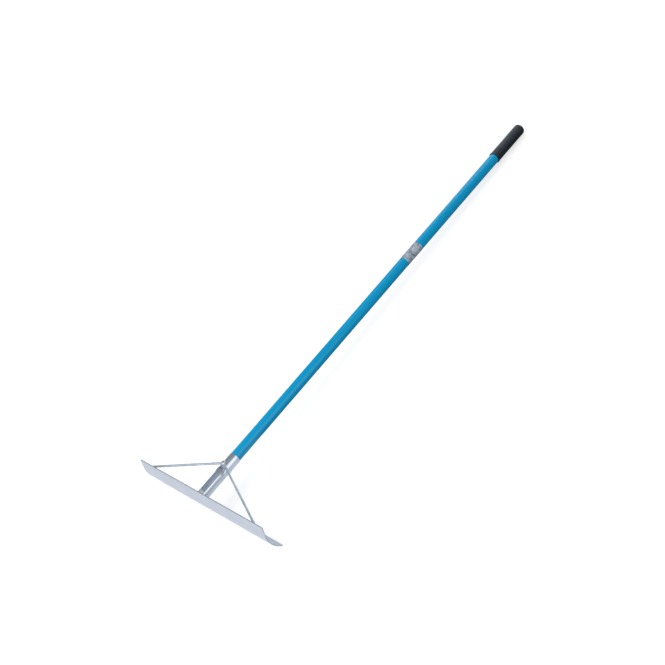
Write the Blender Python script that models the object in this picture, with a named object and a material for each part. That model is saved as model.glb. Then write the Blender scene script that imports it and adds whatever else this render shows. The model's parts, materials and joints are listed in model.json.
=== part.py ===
"""Concrete rake: a wide curved steel blade on a braced socket, and a long tube handle with a sleeve grip.

The tool is modelled along its own handle. +Y runs from the blade to the grip, +X runs along the blade, +Z is
the side away from the blade's lip, and the handle's axis passes through the origin at the socket's mouth.
The empty named rake then lays the tool on the floor, on the blade's lip and the end of the grip.
"""

import math

import bmesh
import bpy
from mathutils import Matrix, Vector

# Sizes are in metres and angles in radians.
FIT_GAP = 0.0003

TUBE_DIAMETER = 0.032
TUBE_WALL = 0.0015
TUBE_SEAT = 0.0465
HANDLE_REACH = 1.417

GRIP_LENGTH = 0.153
GRIP_WALL = 0.0015
GRIP_DOME = 0.0124
COLLAR_LENGTH = 0.005
COLLAR_RISE = 0.0008

BAND_WIDTH = 0.070
BAND_THICKNESS = 0.0003
BAND_TO_GRIP = 0.409

PLUG_LENGTH = 0.060
PLUG_RECESS = 0.001
PLUG_CHAMFER = 0.0015

SOCKET_WALL = 0.001
SOCKET_COVER = 0.0005
CHANNEL_RAMP = 0.018
CHANNEL_RIM = math.radians(72.5)
CHANNEL_CORNER = 0.006

HEAD_REACH = 0.1397
BLADE_TOP_RISE = 0.021
BLADE_LENGTH = 0.497
BLADE_THICKNESS = 0.003
BLADE_FLAT = 0.030
BLADE_LEAN = math.radians(10)
BLADE_BACK_RADIUS = 0.090
BLADE_CURVE = math.radians(55)
BLADE_TOP_CORNER = 0.005
BLADE_LIP_CORNER = 0.003

BOLT_TO_TUBE_END = 0.0095
BOLT_DIAMETER = 0.006
BOLT_HEAD_OVERHANG = 0.0035
BOLT_HEAD_HEIGHT = 0.003
BOLT_HEAD_RIM = 0.0008
BOLT_TIP_CHAMFER = 0.0008
BOLT_TIP_REACH = 0.0012
WASHER_RIM = 0.0036
WASHER_THICKNESS = 0.0012
NUT_WALL = 0.002
NUT_HEIGHT = 0.004
NUT_CHAMFER = 0.0004

ROD_DIAMETER = 0.0063
EYE_WALL = 0.0042
EYE_THICKNESS = 0.002
NECK_LENGTH = 0.009
FOOT_LENGTH = 0.024
FOOT_INSET = 0.0135
FOOT_DEPTH = 0.015
FOOT_BEND_RADIUS = 0.012

WELD_GAP = 0.00036
SOCKET_WELD_LEG = 0.004
SOCKET_WELD_END = math.radians(165)
BRACE_WELD_LENGTH = 0.015
BRACE_WELD_REACH = 0.0025
BRACE_WELD_ROOT = math.radians(32)
BRACE_WELD_CREST = math.radians(80)
FOOT_TIP = 0.0023

# How finely round shapes are stepped, what counts as one point, and how far a cutter stands past its cut.
ROUND_STEPS = 48
SMALL_STEPS = 24
CURVE_STEPS = 12
CORNER_STEPS = 5
ROD_SIDES = 16
NECK_STEPS = 3
SAME_POINT = 0.000001
SMOOTH_LIMIT = math.radians(35)
CUTTER_SPARE = 0.012

# Radii and places that follow from the sizes above.
TUBE_RADIUS = TUBE_DIAMETER / 2
TUBE_BORE = TUBE_RADIUS - TUBE_WALL
SLEEVE_BORE = TUBE_RADIUS + FIT_GAP
SOCKET_RADIUS = SLEEVE_BORE + SOCKET_WALL
CHANNEL_START = TUBE_SEAT + SOCKET_COVER
CHANNEL_RIM_RISE = SOCKET_RADIUS * math.cos(CHANNEL_RIM)
RAW_SOCKET_LENGTH = HEAD_REACH + TUBE_DIAMETER
GRIP_RADIUS = SLEEVE_BORE + GRIP_WALL
GRIP_MOUTH = HANDLE_REACH - GRIP_LENGTH
GRIP_SHOULDER = HANDLE_REACH - GRIP_DOME
COLLAR_RADIUS = GRIP_RADIUS + COLLAR_RISE
TUBE_END = GRIP_SHOULDER - FIT_GAP
BOLT_PLACE = BOLT_TO_TUBE_END - TUBE_SEAT
BOLT_RADIUS = BOLT_DIAMETER / 2
BOLT_HOLE_RADIUS = BOLT_RADIUS + FIT_GAP
ROD_RADIUS = ROD_DIAMETER / 2
EYE_RADIUS = BOLT_HOLE_RADIUS + EYE_WALL
LOWER_EYE_HEIGHT = SOCKET_RADIUS + FIT_GAP + EYE_THICKNESS / 2
UPPER_EYE_HEIGHT = LOWER_EYE_HEIGHT + EYE_THICKNESS + FIT_GAP
BOLT_HEAD_SEAT = UPPER_EYE_HEIGHT + EYE_THICKNESS / 2 + FIT_GAP
WASHER_TOP = -SOCKET_RADIUS - FIT_GAP
NUT_TOP = WASHER_TOP - WASHER_THICKNESS - FIT_GAP
BOLT_TIP = NUT_TOP - NUT_HEIGHT - BOLT_TIP_REACH
FOOT_END = BLADE_LENGTH / 2 - FOOT_INSET


def blade_back_line():
    """The back face of the blade's section from its top edge to its lip, as (y, z) points."""
    y, z = -HEAD_REACH, BLADE_TOP_RISE
    points = [(y, z)]
    y -= BLADE_FLAT * math.sin(BLADE_LEAN)
    z -= BLADE_FLAT * math.cos(BLADE_LEAN)
    centre = (y + BLADE_BACK_RADIUS * math.cos(BLADE_LEAN), z - BLADE_BACK_RADIUS * math.sin(BLADE_LEAN))
    start = math.pi - BLADE_LEAN
    return points + arc(centre, BLADE_BACK_RADIUS, start, start + BLADE_CURVE, CURVE_STEPS)


def arc(centre, radius, start, end, steps):
    """Points on an arc between two angles, both ends included."""
    angles = [start + (end - start) * step / steps for step in range(steps + 1)]
    return [(centre[0] + radius * math.cos(a), centre[1] + radius * math.sin(a)) for a in angles]


def side_of(start, end):
    """The unit normal of a (y, z) line that runs down the blade, pointing to the user's side."""
    along = Vector(end) - Vector(start)
    return Vector((-along.y, along.x)).normalized()


def offset_line(points, distance):
    """A (y, z) line moved sideways by a distance towards the user, with mitred corners."""
    normals = [side_of(a, b) for a, b in zip(points, points[1:])]
    moved = []
    for index, point in enumerate(points):
        before = normals[max(index - 1, 0)]
        after = normals[min(index, len(normals) - 1)]
        mitre = (before + after).normalized()
        moved.append(tuple(Vector(point) + mitre * (distance / mitre.dot(after))))
    return moved


def back_face_y(height):
    """Where the blade's back face lies at a height of the tool's frame."""
    for (y0, z0), (y1, z1) in zip(BACK_LINE, BACK_LINE[1:]):
        if height >= z1:
            break
    return y0 + (y1 - y0) * (height - z0) / (z1 - z0)


def foot_frame():
    """A brace foot's point on the blade's back, and the directions down the sheet and away from it."""
    left = FOOT_DEPTH
    for start, end in zip(BACK_LINE, BACK_LINE[1:]):
        piece = (Vector(end) - Vector(start)).length
        if left <= piece:
            break
        left -= piece
    down = (Vector(end) - Vector(start)).normalized()
    return Vector(start) + down * left, down, side_of(start, end)


BACK_LINE = blade_back_line()
FRONT_LINE = offset_line(BACK_LINE, -BLADE_THICKNESS)
FOOT_POINT, FOOT_DOWN, FOOT_OUT = foot_frame()

# The turn that lays a piece made along Z down along the handle.
ALONG_HANDLE = (math.radians(-90), 0, 0)


def material(name, colour, roughness, metallic):
    """A plain Principled material."""
    made = bpy.data.materials.new(name)
    made.use_nodes = True
    shader = made.node_tree.nodes["Principled BSDF"]
    shader.inputs["Base Color"].default_value = (*colour, 1)
    shader.inputs["Roughness"].default_value = roughness
    shader.inputs["Metallic"].default_value = metallic
    return made


def add_object(name, mesh_data, finish=None, location=(0, 0, 0), rotation=(0, 0, 0)):
    """Turn a bmesh into an object that hangs on the rake's empty."""
    bmesh.ops.recalc_face_normals(mesh_data, faces=mesh_data.faces)
    mesh = bpy.data.meshes.new(name)
    mesh_data.to_mesh(mesh)
    mesh_data.free()
    made = bpy.data.objects.new(name, mesh)
    bpy.context.scene.collection.objects.link(made)
    made.parent = bpy.data.objects["rake"]
    made.location = location
    made.rotation_euler = rotation
    if finish:
        mesh.materials.append(finish)
    return made


def smooth(made):
    """Shade an object's round faces smooth and keep its sharp edges."""
    made.data.shade_smooth()
    made.data.set_sharp_from_angle(angle=SMOOTH_LIMIT)


def cut(made, cutter):
    """Take a cutter's shape out of an object."""
    modifier = made.modifiers.new(cutter.name, "BOOLEAN")
    modifier.operation = "DIFFERENCE"
    modifier.solver = "EXACT"
    modifier.object = cutter
    cutter.hide_render = True
    cutter.display_type = "WIRE"


def prism(outline, width):
    """A bmesh solid with a (y, z) outline, drawn out along X on both sides of the middle."""
    solid = bmesh.new()
    corners = [solid.verts.new((-width / 2, y, z)) for y, z in outline]
    face = solid.faces.new(corners)
    drawn = bmesh.ops.extrude_face_region(solid, geom=[face])
    moved = [item for item in drawn["geom"] if isinstance(item, bmesh.types.BMVert)]
    bmesh.ops.translate(solid, verts=moved, vec=(width, 0, 0))
    return solid


def turned(profile, steps):
    """A bmesh solid turned round Z from a (radius, z) profile; a closed profile makes a ring."""
    solid = bmesh.new()
    corners = [solid.verts.new((radius, 0, z)) for radius, z in profile]
    edges = [solid.edges.new(pair) for pair in zip(corners, corners[1:])]
    if profile[0][0] > 0:
        edges.append(solid.edges.new((corners[-1], corners[0])))
    bmesh.ops.spin(solid, geom=corners + edges, cent=(0, 0, 0), axis=(0, 0, 1), angle=math.tau, steps=steps,
                   use_merge=True)
    bmesh.ops.remove_doubles(solid, verts=solid.verts, dist=SAME_POINT)
    return solid


def loft(rings):
    """A bmesh solid through a row of rings of points, with flat ends."""
    solid = bmesh.new()
    loops = [[solid.verts.new(point) for point in ring] for ring in rings]
    for near, far in zip(loops, loops[1:]):
        count = len(near)
        for index in range(count):
            after = (index + 1) % count
            solid.faces.new((near[index], near[after], far[after], far[index]))
    solid.faces.new(loops[0])
    solid.faces.new(loops[-1])
    return solid


def pipe_profile(bore, radius, length):
    """The (radius, z) profile of a plain pipe that starts at zero."""
    return [(bore, 0), (radius, 0), (radius, length), (bore, length)]


def dome_profile(radius, base, height):
    """The (radius, z) points of a quarter ellipse, from its rim to its top."""
    angles = [math.radians(90) * step / CORNER_STEPS for step in range(CORNER_STEPS)]
    return [(radius * math.cos(a), base + height * math.sin(a)) for a in angles] + [(0, base + height)]


def make_bolt_hole():
    """The cutter for the hole that runs from the upper eye to the nut."""
    low, high = BOLT_TIP - CUTTER_SPARE, BOLT_HEAD_SEAT + CUTTER_SPARE
    profile = [(0, low), (BOLT_HOLE_RADIUS, low), (BOLT_HOLE_RADIUS, high), (0, high)]
    return add_object("bolt_hole_cutter", turned(profile, SMALL_STEPS), location=(0, BOLT_PLACE, 0))


def make_channel():
    """The cutter that opens the socket's top, with a slanted end and a rounded inner corner."""
    slope = math.atan2(SOCKET_RADIUS - CHANNEL_RIM_RISE, CHANNEL_RAMP)
    foot = -CHANNEL_START - CHANNEL_RAMP
    corner = (foot - CHANNEL_CORNER * math.tan(slope / 2), CHANNEL_RIM_RISE + CHANNEL_CORNER)
    down = math.radians(-90)
    far, high = -RAW_SOCKET_LENGTH - CUTTER_SPARE, SOCKET_RADIUS + CUTTER_SPARE
    outline = [(far, CHANNEL_RIM_RISE), *arc(corner, CHANNEL_CORNER, down, down + slope, CORNER_STEPS)]
    outline += [(-CHANNEL_START + CUTTER_SPARE / math.tan(slope), high), (far, high)]
    return add_object("channel_cutter", prism(outline, 2 * (SOCKET_RADIUS + CUTTER_SPARE)))


def make_blade_seat():
    """The cutter that trims the socket to the blade's back, all the way above and below it."""
    seat = offset_line(BACK_LINE, FIT_GAP)
    rise = (Vector(seat[0]) - Vector(seat[1])).normalized()
    seat.insert(0, tuple(Vector(seat[0]) + rise * (SOCKET_RADIUS + CUTTER_SPARE)))
    far = -2 * RAW_SOCKET_LENGTH
    outline = [*seat, (far, seat[-1][1]), (far, seat[0][1])]
    return add_object("blade_seat_cutter", prism(outline, 2 * (SOCKET_RADIUS + CUTTER_SPARE)))


def round_corners(solid, ends, radius):
    """Round the two outer corners of a prism where its outline has an edge between two (y, z) points."""
    first, second = (Vector(end) for end in ends)
    found = []
    for edge in solid.edges:
        near, far = (vert.co.yz for vert in edge.verts)
        straight = (near - first).length < SAME_POINT and (far - second).length < SAME_POINT
        turned_round = (near - second).length < SAME_POINT and (far - first).length < SAME_POINT
        if straight or turned_round:
            found.append(edge)
    bmesh.ops.bevel(solid, geom=found, offset=radius, segments=CORNER_STEPS, profile=0.5, affect="EDGES")


def make_blade(steel):
    """The curved sheet, with its four outer corners rounded."""
    solid = prism(FRONT_LINE + BACK_LINE[::-1], BLADE_LENGTH)
    round_corners(solid, (FRONT_LINE[0], BACK_LINE[0]), BLADE_TOP_CORNER)
    round_corners(solid, (FRONT_LINE[-1], BACK_LINE[-1]), BLADE_LIP_CORNER)
    smooth(add_object("blade", solid, steel))


def make_socket(steel, bolt_hole):
    """The rolled tube that holds the handle, opened on top and cut to the blade's back."""
    pipe = turned(pipe_profile(SLEEVE_BORE, SOCKET_RADIUS, RAW_SOCKET_LENGTH), ROUND_STEPS)
    socket = add_object("socket", pipe, steel, (0, -RAW_SOCKET_LENGTH, 0), ALONG_HANDLE)
    cut(socket, bolt_hole)
    cut(socket, make_channel())
    cut(socket, make_blade_seat())
    smooth(socket)


def socket_weld(name, side, bead):
    """The fillet bead along one side of the socket, on the blade's back."""
    inner = SOCKET_RADIUS + FIT_GAP
    rings = []
    for step in range(CURVE_STEPS + 1):
        angle = CHANNEL_RIM + (SOCKET_WELD_END - CHANNEL_RIM) * step / CURVE_STEPS
        ring = []
        for share_out, share_up in ((0, 0), (1, 0), (0.6, 0.6), (0, 1)):
            radius = inner + share_out * SOCKET_WELD_LEG
            height = radius * math.cos(angle)
            y = back_face_y(height) + WELD_GAP + share_up * SOCKET_WELD_LEG
            ring.append((side * radius * math.sin(angle), y, height))
        rings.append(ring)
    smooth(add_object(name, loft(rings), bead))


def brace_ring(centre, along, half_width, half_thickness, flatness):
    """A ring of points round a rod: a circle at flatness 0, and nearly a flat bar's section at 1."""
    across = Vector((0, 0, 1)).cross(along).normalized()
    up = along.cross(across).normalized()
    power = 1 - 2 * flatness / 3
    ring = []
    for step in range(ROD_SIDES):
        c, s = math.cos(math.tau * step / ROD_SIDES), math.sin(math.tau * step / ROD_SIDES)
        width = math.copysign(abs(c) ** power, c) * half_width
        height = math.copysign(abs(s) ** power, s) * half_thickness
        ring.append(centre + across * width + up * height)
    return ring


def rod_ring(centre, along):
    """A ring of points round the plain round rod."""
    return brace_ring(centre, along, ROD_RADIUS, ROD_RADIUS, 0)


def eye_rings(bolt, level):
    """The rings of the flat round eye, from its far rim to where it is as narrow as the rod."""
    neck_angle = math.pi - math.asin(ROD_RADIUS / EYE_RADIUS)
    rings = []
    for step in range(1, CURVE_STEPS + 1):
        angle = neck_angle * step / CURVE_STEPS
        centre = bolt - level * EYE_RADIUS * math.cos(angle)
        rings.append(brace_ring(centre, level, EYE_RADIUS * math.sin(angle), EYE_THICKNESS / 2, 1))
    return rings


def neck_rings(bolt, level):
    """The rings where the flat eye grows round again, up to the straight rod."""
    thin = EYE_THICKNESS / 2
    rings = []
    for step in range(1, NECK_STEPS):
        share = step / NECK_STEPS
        centre = bolt + level * (EYE_RADIUS + NECK_LENGTH * share)
        rings.append(brace_ring(centre, level, ROD_RADIUS, thin + (ROD_RADIUS - thin) * share, 1 - share))
    return rings


def foot_bend_rings(bend, run, outward):
    """The rings round the bend that turns the rod along the blade."""
    turn = run.angle(outward)
    centre = bend + (outward - run).normalized() * (FOOT_BEND_RADIUS / math.cos(turn / 2))
    spoke = bend - run * (FOOT_BEND_RADIUS * math.tan(turn / 2)) - centre
    rings = []
    for step in range(CORNER_STEPS + 1):
        swing = Matrix.Rotation(turn * step / CORNER_STEPS, 3, run.cross(outward).normalized())
        rings.append(rod_ring(centre + swing @ spoke, swing @ run))
    return rings


def brace(name, side, eye_height, steel, bolt_hole):
    """One rod: a flattened eye over the bolt, a straight run, and a foot along the blade's back."""
    foot_y, foot_z = FOOT_POINT + FOOT_OUT * (FIT_GAP + ROD_RADIUS)
    foot_end = Vector((side * FOOT_END, foot_y, foot_z))
    outward = Vector((side, 0, 0))
    bend = foot_end - outward * FOOT_LENGTH
    bolt = Vector((0, BOLT_PLACE, eye_height))
    level = Vector((bend.x - bolt.x, bend.y - bolt.y, 0)).normalized()
    neck = bolt + level * (EYE_RADIUS + NECK_LENGTH)
    run = (bend - neck).normalized()
    rings = eye_rings(bolt, level) + neck_rings(bolt, level) + [rod_ring(neck, (level + run).normalized())]
    rings += foot_bend_rings(bend, run, outward) + [rod_ring(foot_end, outward)]
    made = add_object(name, loft(rings), steel)
    cut(made, bolt_hole)
    smooth(made)


def brace_weld(name, side, edge, bead):
    """A fillet bead along a brace's foot, above it where edge is -1 and below it where edge is 1."""
    hug = ROD_RADIUS + FIT_GAP
    outline = []
    for step in range(CORNER_STEPS + 1):
        angle = BRACE_WELD_ROOT + (BRACE_WELD_CREST - BRACE_WELD_ROOT) * step / CORNER_STEPS
        out = FOOT_OUT * (hug - hug * math.cos(angle))
        outline.append(tuple(FOOT_POINT + out + FOOT_DOWN * (edge * hug * math.sin(angle))))
    for reach in (hug + BRACE_WELD_REACH, hug * math.sin(BRACE_WELD_ROOT)):
        height = (FOOT_POINT + FOOT_DOWN * (edge * reach)).y
        outline.append((back_face_y(height) + WELD_GAP, height))
    middle = side * (FOOT_END - FOOT_TIP - BRACE_WELD_LENGTH / 2)
    add_object(name, prism(outline, BRACE_WELD_LENGTH), bead, (middle, 0, 0))


def make_bolt(steel):
    """The round-headed bolt through both eyes, the socket, the tube and the plug."""
    head = BOLT_RADIUS + BOLT_HEAD_OVERHANG
    dome = dome_profile(head, BOLT_HEAD_SEAT + BOLT_HEAD_RIM, BOLT_HEAD_HEIGHT - BOLT_HEAD_RIM)
    tip = [(0, BOLT_TIP), (BOLT_RADIUS - BOLT_TIP_CHAMFER, BOLT_TIP), (BOLT_RADIUS, BOLT_TIP + BOLT_TIP_CHAMFER)]
    profile = [*tip, (BOLT_RADIUS, BOLT_HEAD_SEAT), (head, BOLT_HEAD_SEAT), *dome]
    smooth(add_object("brace_bolt", turned(profile, SMALL_STEPS), steel, (0, BOLT_PLACE, 0)))


def make_washer(steel):
    """The flat washer under the socket."""
    ring = pipe_profile(BOLT_HOLE_RADIUS, BOLT_HOLE_RADIUS + WASHER_RIM, WASHER_THICKNESS)
    smooth(add_object("brace_bolt_washer", turned(ring, SMALL_STEPS), steel,
                      (0, BOLT_PLACE, WASHER_TOP - WASHER_THICKNESS)))


def make_nut(steel, bolt_hole):
    """The hexagon nut under the washer."""
    sides = 6
    corner = (BOLT_RADIUS + NUT_WALL) / math.cos(math.pi / sides)
    solid = bmesh.new()
    bmesh.ops.create_cone(solid, cap_ends=True, segments=sides, depth=NUT_HEIGHT, radius1=corner, radius2=corner)
    nut = add_object("brace_bolt_nut", solid, steel, (0, BOLT_PLACE, NUT_TOP - NUT_HEIGHT / 2))
    bevel = nut.modifiers.new("chamfer", "BEVEL")
    bevel.width = NUT_CHAMFER
    bevel.segments = 1
    cut(nut, bolt_hole)


def make_tube(coat, bolt_hole):
    """The long handle tube, from its seat in the socket to the end of the grip's bore."""
    pipe = turned(pipe_profile(TUBE_BORE, TUBE_RADIUS, TUBE_SEAT + TUBE_END), ROUND_STEPS)
    tube = add_object("handle_tube", pipe, coat, (0, -TUBE_SEAT, 0), ALONG_HANDLE)
    cut(tube, bolt_hole)
    smooth(tube)


def make_plug(plastic, bolt_hole):
    """The plug that fills the tube's lower end round the bolt."""
    radius = TUBE_BORE - FIT_GAP
    profile = [(0, 0), (radius - PLUG_CHAMFER, 0), (radius, PLUG_CHAMFER), (radius, PLUG_LENGTH - PLUG_CHAMFER),
               (radius - PLUG_CHAMFER, PLUG_LENGTH), (0, PLUG_LENGTH)]
    plug = add_object("handle_plug", turned(profile, ROUND_STEPS), plastic, (0, PLUG_RECESS - TUBE_SEAT, 0),
                      ALONG_HANDLE)
    cut(plug, bolt_hole)
    smooth(plug)


def make_band(foil):
    """The thin bare band wrapped round the tube below the grip."""
    ring = turned(pipe_profile(SLEEVE_BORE, SLEEVE_BORE + BAND_THICKNESS, BAND_WIDTH), ROUND_STEPS)
    place = (0, GRIP_MOUTH - BAND_TO_GRIP - BAND_WIDTH, 0)
    smooth(add_object("label_band", ring, foil, place, ALONG_HANDLE))


def grip_profile():
    """The grip's (radius, y) profile from the end of its bore, round its mouth, to the tip of its dome."""
    soft = COLLAR_RISE / 2
    collar_end = GRIP_MOUTH + COLLAR_LENGTH
    return [(0, GRIP_SHOULDER), (SLEEVE_BORE, GRIP_SHOULDER), (SLEEVE_BORE, GRIP_MOUTH),
            (COLLAR_RADIUS - soft, GRIP_MOUTH), (COLLAR_RADIUS, GRIP_MOUTH + soft),
            (COLLAR_RADIUS, collar_end - soft), (COLLAR_RADIUS - soft, collar_end),
            (GRIP_RADIUS, collar_end + soft), *dome_profile(GRIP_RADIUS, GRIP_SHOULDER, GRIP_DOME)]


def make_grip(rubber):
    """The closed sleeve on the handle's end."""
    smooth(add_object("grip", turned(grip_profile(), ROUND_STEPS), rubber, rotation=ALONG_HANDLE))


def lay_on_floor(rake):
    """Turn and place the tool so that its lip and its grip touch the floor, with its middle over the origin."""
    lip_y, lip_z = FRONT_LINE[-1]
    tilt = math.atan(min((-radius - lip_z) / (y - lip_y) for radius, y in grip_profile()))
    turn = Matrix.Rotation(-tilt, 3, "X")
    outline = FRONT_LINE + BACK_LINE + [(y, sign * radius) for radius, y in grip_profile() for sign in (-1, 1)]
    reach = [(turn @ Vector((0, y, z))).y for y, z in outline]
    lip = turn @ Vector((0, lip_y, lip_z))
    rake.rotation_euler = (-tilt, 0, 0)
    rake.location = (0, -(min(reach) + max(reach)) / 2, -lip.z)


def main():
    """Build the whole rake."""
    for old in list(bpy.data.objects):
        bpy.data.objects.remove(old, do_unlink=True)
    rake = bpy.data.objects.new("rake", None)
    bpy.context.scene.collection.objects.link(rake)

    steel = material("plated_steel", (0.56, 0.61, 0.70), 0.38, 0.6)
    bead = material("weld_metal", (0.48, 0.52, 0.58), 0.45, 0.6)
    bolt_steel = material("bolt_steel", (0.50, 0.54, 0.60), 0.32, 0.8)
    coat = material("blue_coat", (0.003, 0.315, 0.590), 0.32, 0.0)
    plastic = material("plug_plastic", (0.18, 0.20, 0.23), 0.5, 0.0)
    foil = material("band_foil", (0.42, 0.44, 0.46), 0.35, 0.8)
    rubber = material("grip_rubber", (0.017, 0.021, 0.030), 0.6, 0.0)

    bolt_hole = make_bolt_hole()
    make_blade(steel)
    make_socket(steel, bolt_hole)
    for word, side, eye_height in (("left", -1, LOWER_EYE_HEIGHT), ("right", 1, UPPER_EYE_HEIGHT)):
        socket_weld("socket_weld_" + word, side, bead)
        brace("brace_" + word, side, eye_height, steel, bolt_hole)
        brace_weld("brace_weld_" + word + "_upper", side, -1, bead)
        brace_weld("brace_weld_" + word + "_lower", side, 1, bead)
    make_bolt(bolt_steel)
    make_washer(bolt_steel)
    make_nut(bolt_steel, bolt_hole)
    make_tube(coat, bolt_hole)
    make_plug(plastic, bolt_hole)
    make_band(foil)
    make_grip(rubber)
    lay_on_floor(rake)


main()
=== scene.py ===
"""The looks of a concrete rake: its fine meshes, their finishes, and a plain studio round them.

Every piece is modelled in the tool's own frame, where +Y runs along the handle from the socket's mouth, +X
runs along the blade and +Z is the side away from the blade's lip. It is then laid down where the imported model
lies.
"""

import json
import logging
import math
from collections.abc import Callable, Iterator, Sequence
from contextlib import contextmanager
from dataclasses import dataclass
from enum import Enum

import bmesh
import bpy
from mathutils import Matrix, Vector


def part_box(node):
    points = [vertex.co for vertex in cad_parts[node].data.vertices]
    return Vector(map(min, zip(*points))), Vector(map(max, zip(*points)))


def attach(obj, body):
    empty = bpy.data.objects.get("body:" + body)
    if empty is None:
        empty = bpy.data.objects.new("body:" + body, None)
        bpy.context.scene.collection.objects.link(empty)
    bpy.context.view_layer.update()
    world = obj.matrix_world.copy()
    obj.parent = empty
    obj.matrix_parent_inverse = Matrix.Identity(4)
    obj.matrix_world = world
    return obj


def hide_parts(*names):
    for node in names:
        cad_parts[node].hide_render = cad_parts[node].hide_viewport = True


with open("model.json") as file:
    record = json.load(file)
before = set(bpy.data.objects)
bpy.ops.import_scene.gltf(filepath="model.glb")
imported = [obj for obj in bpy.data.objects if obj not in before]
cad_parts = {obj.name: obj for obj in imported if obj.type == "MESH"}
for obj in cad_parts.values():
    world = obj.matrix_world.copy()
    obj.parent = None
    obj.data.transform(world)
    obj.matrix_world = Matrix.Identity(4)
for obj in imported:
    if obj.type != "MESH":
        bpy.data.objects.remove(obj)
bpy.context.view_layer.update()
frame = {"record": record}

Colour = tuple[float, float, float]
Point = tuple[float, float, float]
Spot = tuple[float, float]
Ring = list[Vector]
Piece = bpy.types.Object

log = logging.getLogger("concrete_rake")

# Sizes are in metres. A fine piece is held back by a hair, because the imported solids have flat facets.
FIT_GAP = 0.0003
HAIR = 0.00006
BLADE_LEAN = math.radians(10)
HEAD_REACH = 0.1397
BLADE_TOP_RISE = 0.021
BLADE_LENGTH = 0.497
BLADE_THICKNESS = 0.003
BLADE_FLAT = 0.030
TUBE_RADIUS = 0.016
TUBE_WALL = 0.0015
TUBE_SEAT = 0.0465
SLEEVE_BORE = TUBE_RADIUS + FIT_GAP
SOCKET_RADIUS = SLEEVE_BORE + 0.001
SOCKET_RIM_ANGLE = math.radians(72.5)
GRIP_MOUTH = 1.264
GRIP_SHOULDER = 1.4046
BOLT_PLACE = -0.037
BOLT_RADIUS = 0.003
BOLT_HOLE_RADIUS = BOLT_RADIUS + FIT_GAP
EYE_THICKNESS = 0.002
LOWER_EYE = SOCKET_RADIUS + FIT_GAP + EYE_THICKNESS / 2
UPPER_EYE = LOWER_EYE + EYE_THICKNESS + FIT_GAP


def screen_colour(red: int, green: int, blue: int) -> Colour:
    """A colour given in 0 to 255 steps of a screen, as the linear numbers that shaders take.

    Args:
        red: the red channel.
        green: the green channel.
        blue: the blue channel.

    Returns:
        The linear colour.
    """
    def linear(level: int) -> float:
        """One channel made linear."""
        share = level / 255
        return share / 12.92 if share <= 0.04045 else ((share + 0.055) / 1.055) ** 2.4
    return (linear(red), linear(green), linear(blue))


class Side(Enum):
    """The two sides of the handle, as the sign of X."""

    LEFT = -1
    RIGHT = 1

    @property
    def word(self) -> str:
        """The side's name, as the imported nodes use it."""
        return self.name.lower()


class Edge(Enum):
    """The two edges of a brace's foot that are welded, as the sign of the way down the blade."""

    UPPER = -1
    LOWER = 1

    @property
    def word(self) -> str:
        """The edge's name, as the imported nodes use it."""
        return self.name.lower()


class Select(Enum):
    """What a pick leaves selected, as the operators name it."""

    CORNERS = "VERT"
    EDGES = "EDGE"


class Carving(Enum):
    """What a cutter does to a piece, as the modifier names it."""

    CUT_AWAY = "DIFFERENCE"
    KEEP_SHARED = "INTERSECT"


@dataclass(frozen=True)
class ToolFrame:
    """Where the tool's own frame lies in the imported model."""

    matrix: Matrix

    @classmethod
    def from_record(cls, record: dict) -> "ToolFrame":
        """Work the frame out from the way that the blade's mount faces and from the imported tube's place.

        Args:
            record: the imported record.

        Returns:
            The tool's frame.
        """
        mount = next(item for item in record["mounts"] if item["name"] == "blade_face")
        _, across, up = mount["axis"]
        tilt = math.atan2(up, -across) - BLADE_LEAN
        turn = Matrix.Rotation(-tilt, 4, "X")
        low, high = (Vector(corner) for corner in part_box("handle_tube"))
        middle = Vector((0, (GRIP_SHOULDER - FIT_GAP - TUBE_SEAT) / 2, 0))
        return cls(Matrix.Translation((low + high) / 2 - turn @ middle) @ turn)


@dataclass(frozen=True)
class BladeSection:
    """The blade's section: flat and leaning forward at the top, then an arc back to the lip."""

    back_radius: float = 0.090
    curve: float = math.radians(55)

    def flat_end(self) -> Spot:
        """Where the back face's flat ends and its curve starts, as (y, z)."""
        back, down = BLADE_FLAT * math.sin(BLADE_LEAN), BLADE_FLAT * math.cos(BLADE_LEAN)
        return (-HEAD_REACH - back, BLADE_TOP_RISE - down)

    def centre(self) -> Spot:
        """The centre of the curve, as (y, z)."""
        y, z = self.flat_end()
        return (y + self.back_radius * math.cos(BLADE_LEAN), z - self.back_radius * math.sin(BLADE_LEAN))

    def back_y(self, height: float) -> float:
        """Where the back face lies at a height between its top edge and its lip.

        Args:
            height: the height, as z in the tool's frame.

        Returns:
            The y of the back face there.
        """
        y, z = self.flat_end()
        if height >= z:
            return y + (height - z) * math.tan(BLADE_LEAN)
        centre_y, centre_z = self.centre()
        return centre_y - math.sqrt(self.back_radius ** 2 - (height - centre_z) ** 2)


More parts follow.
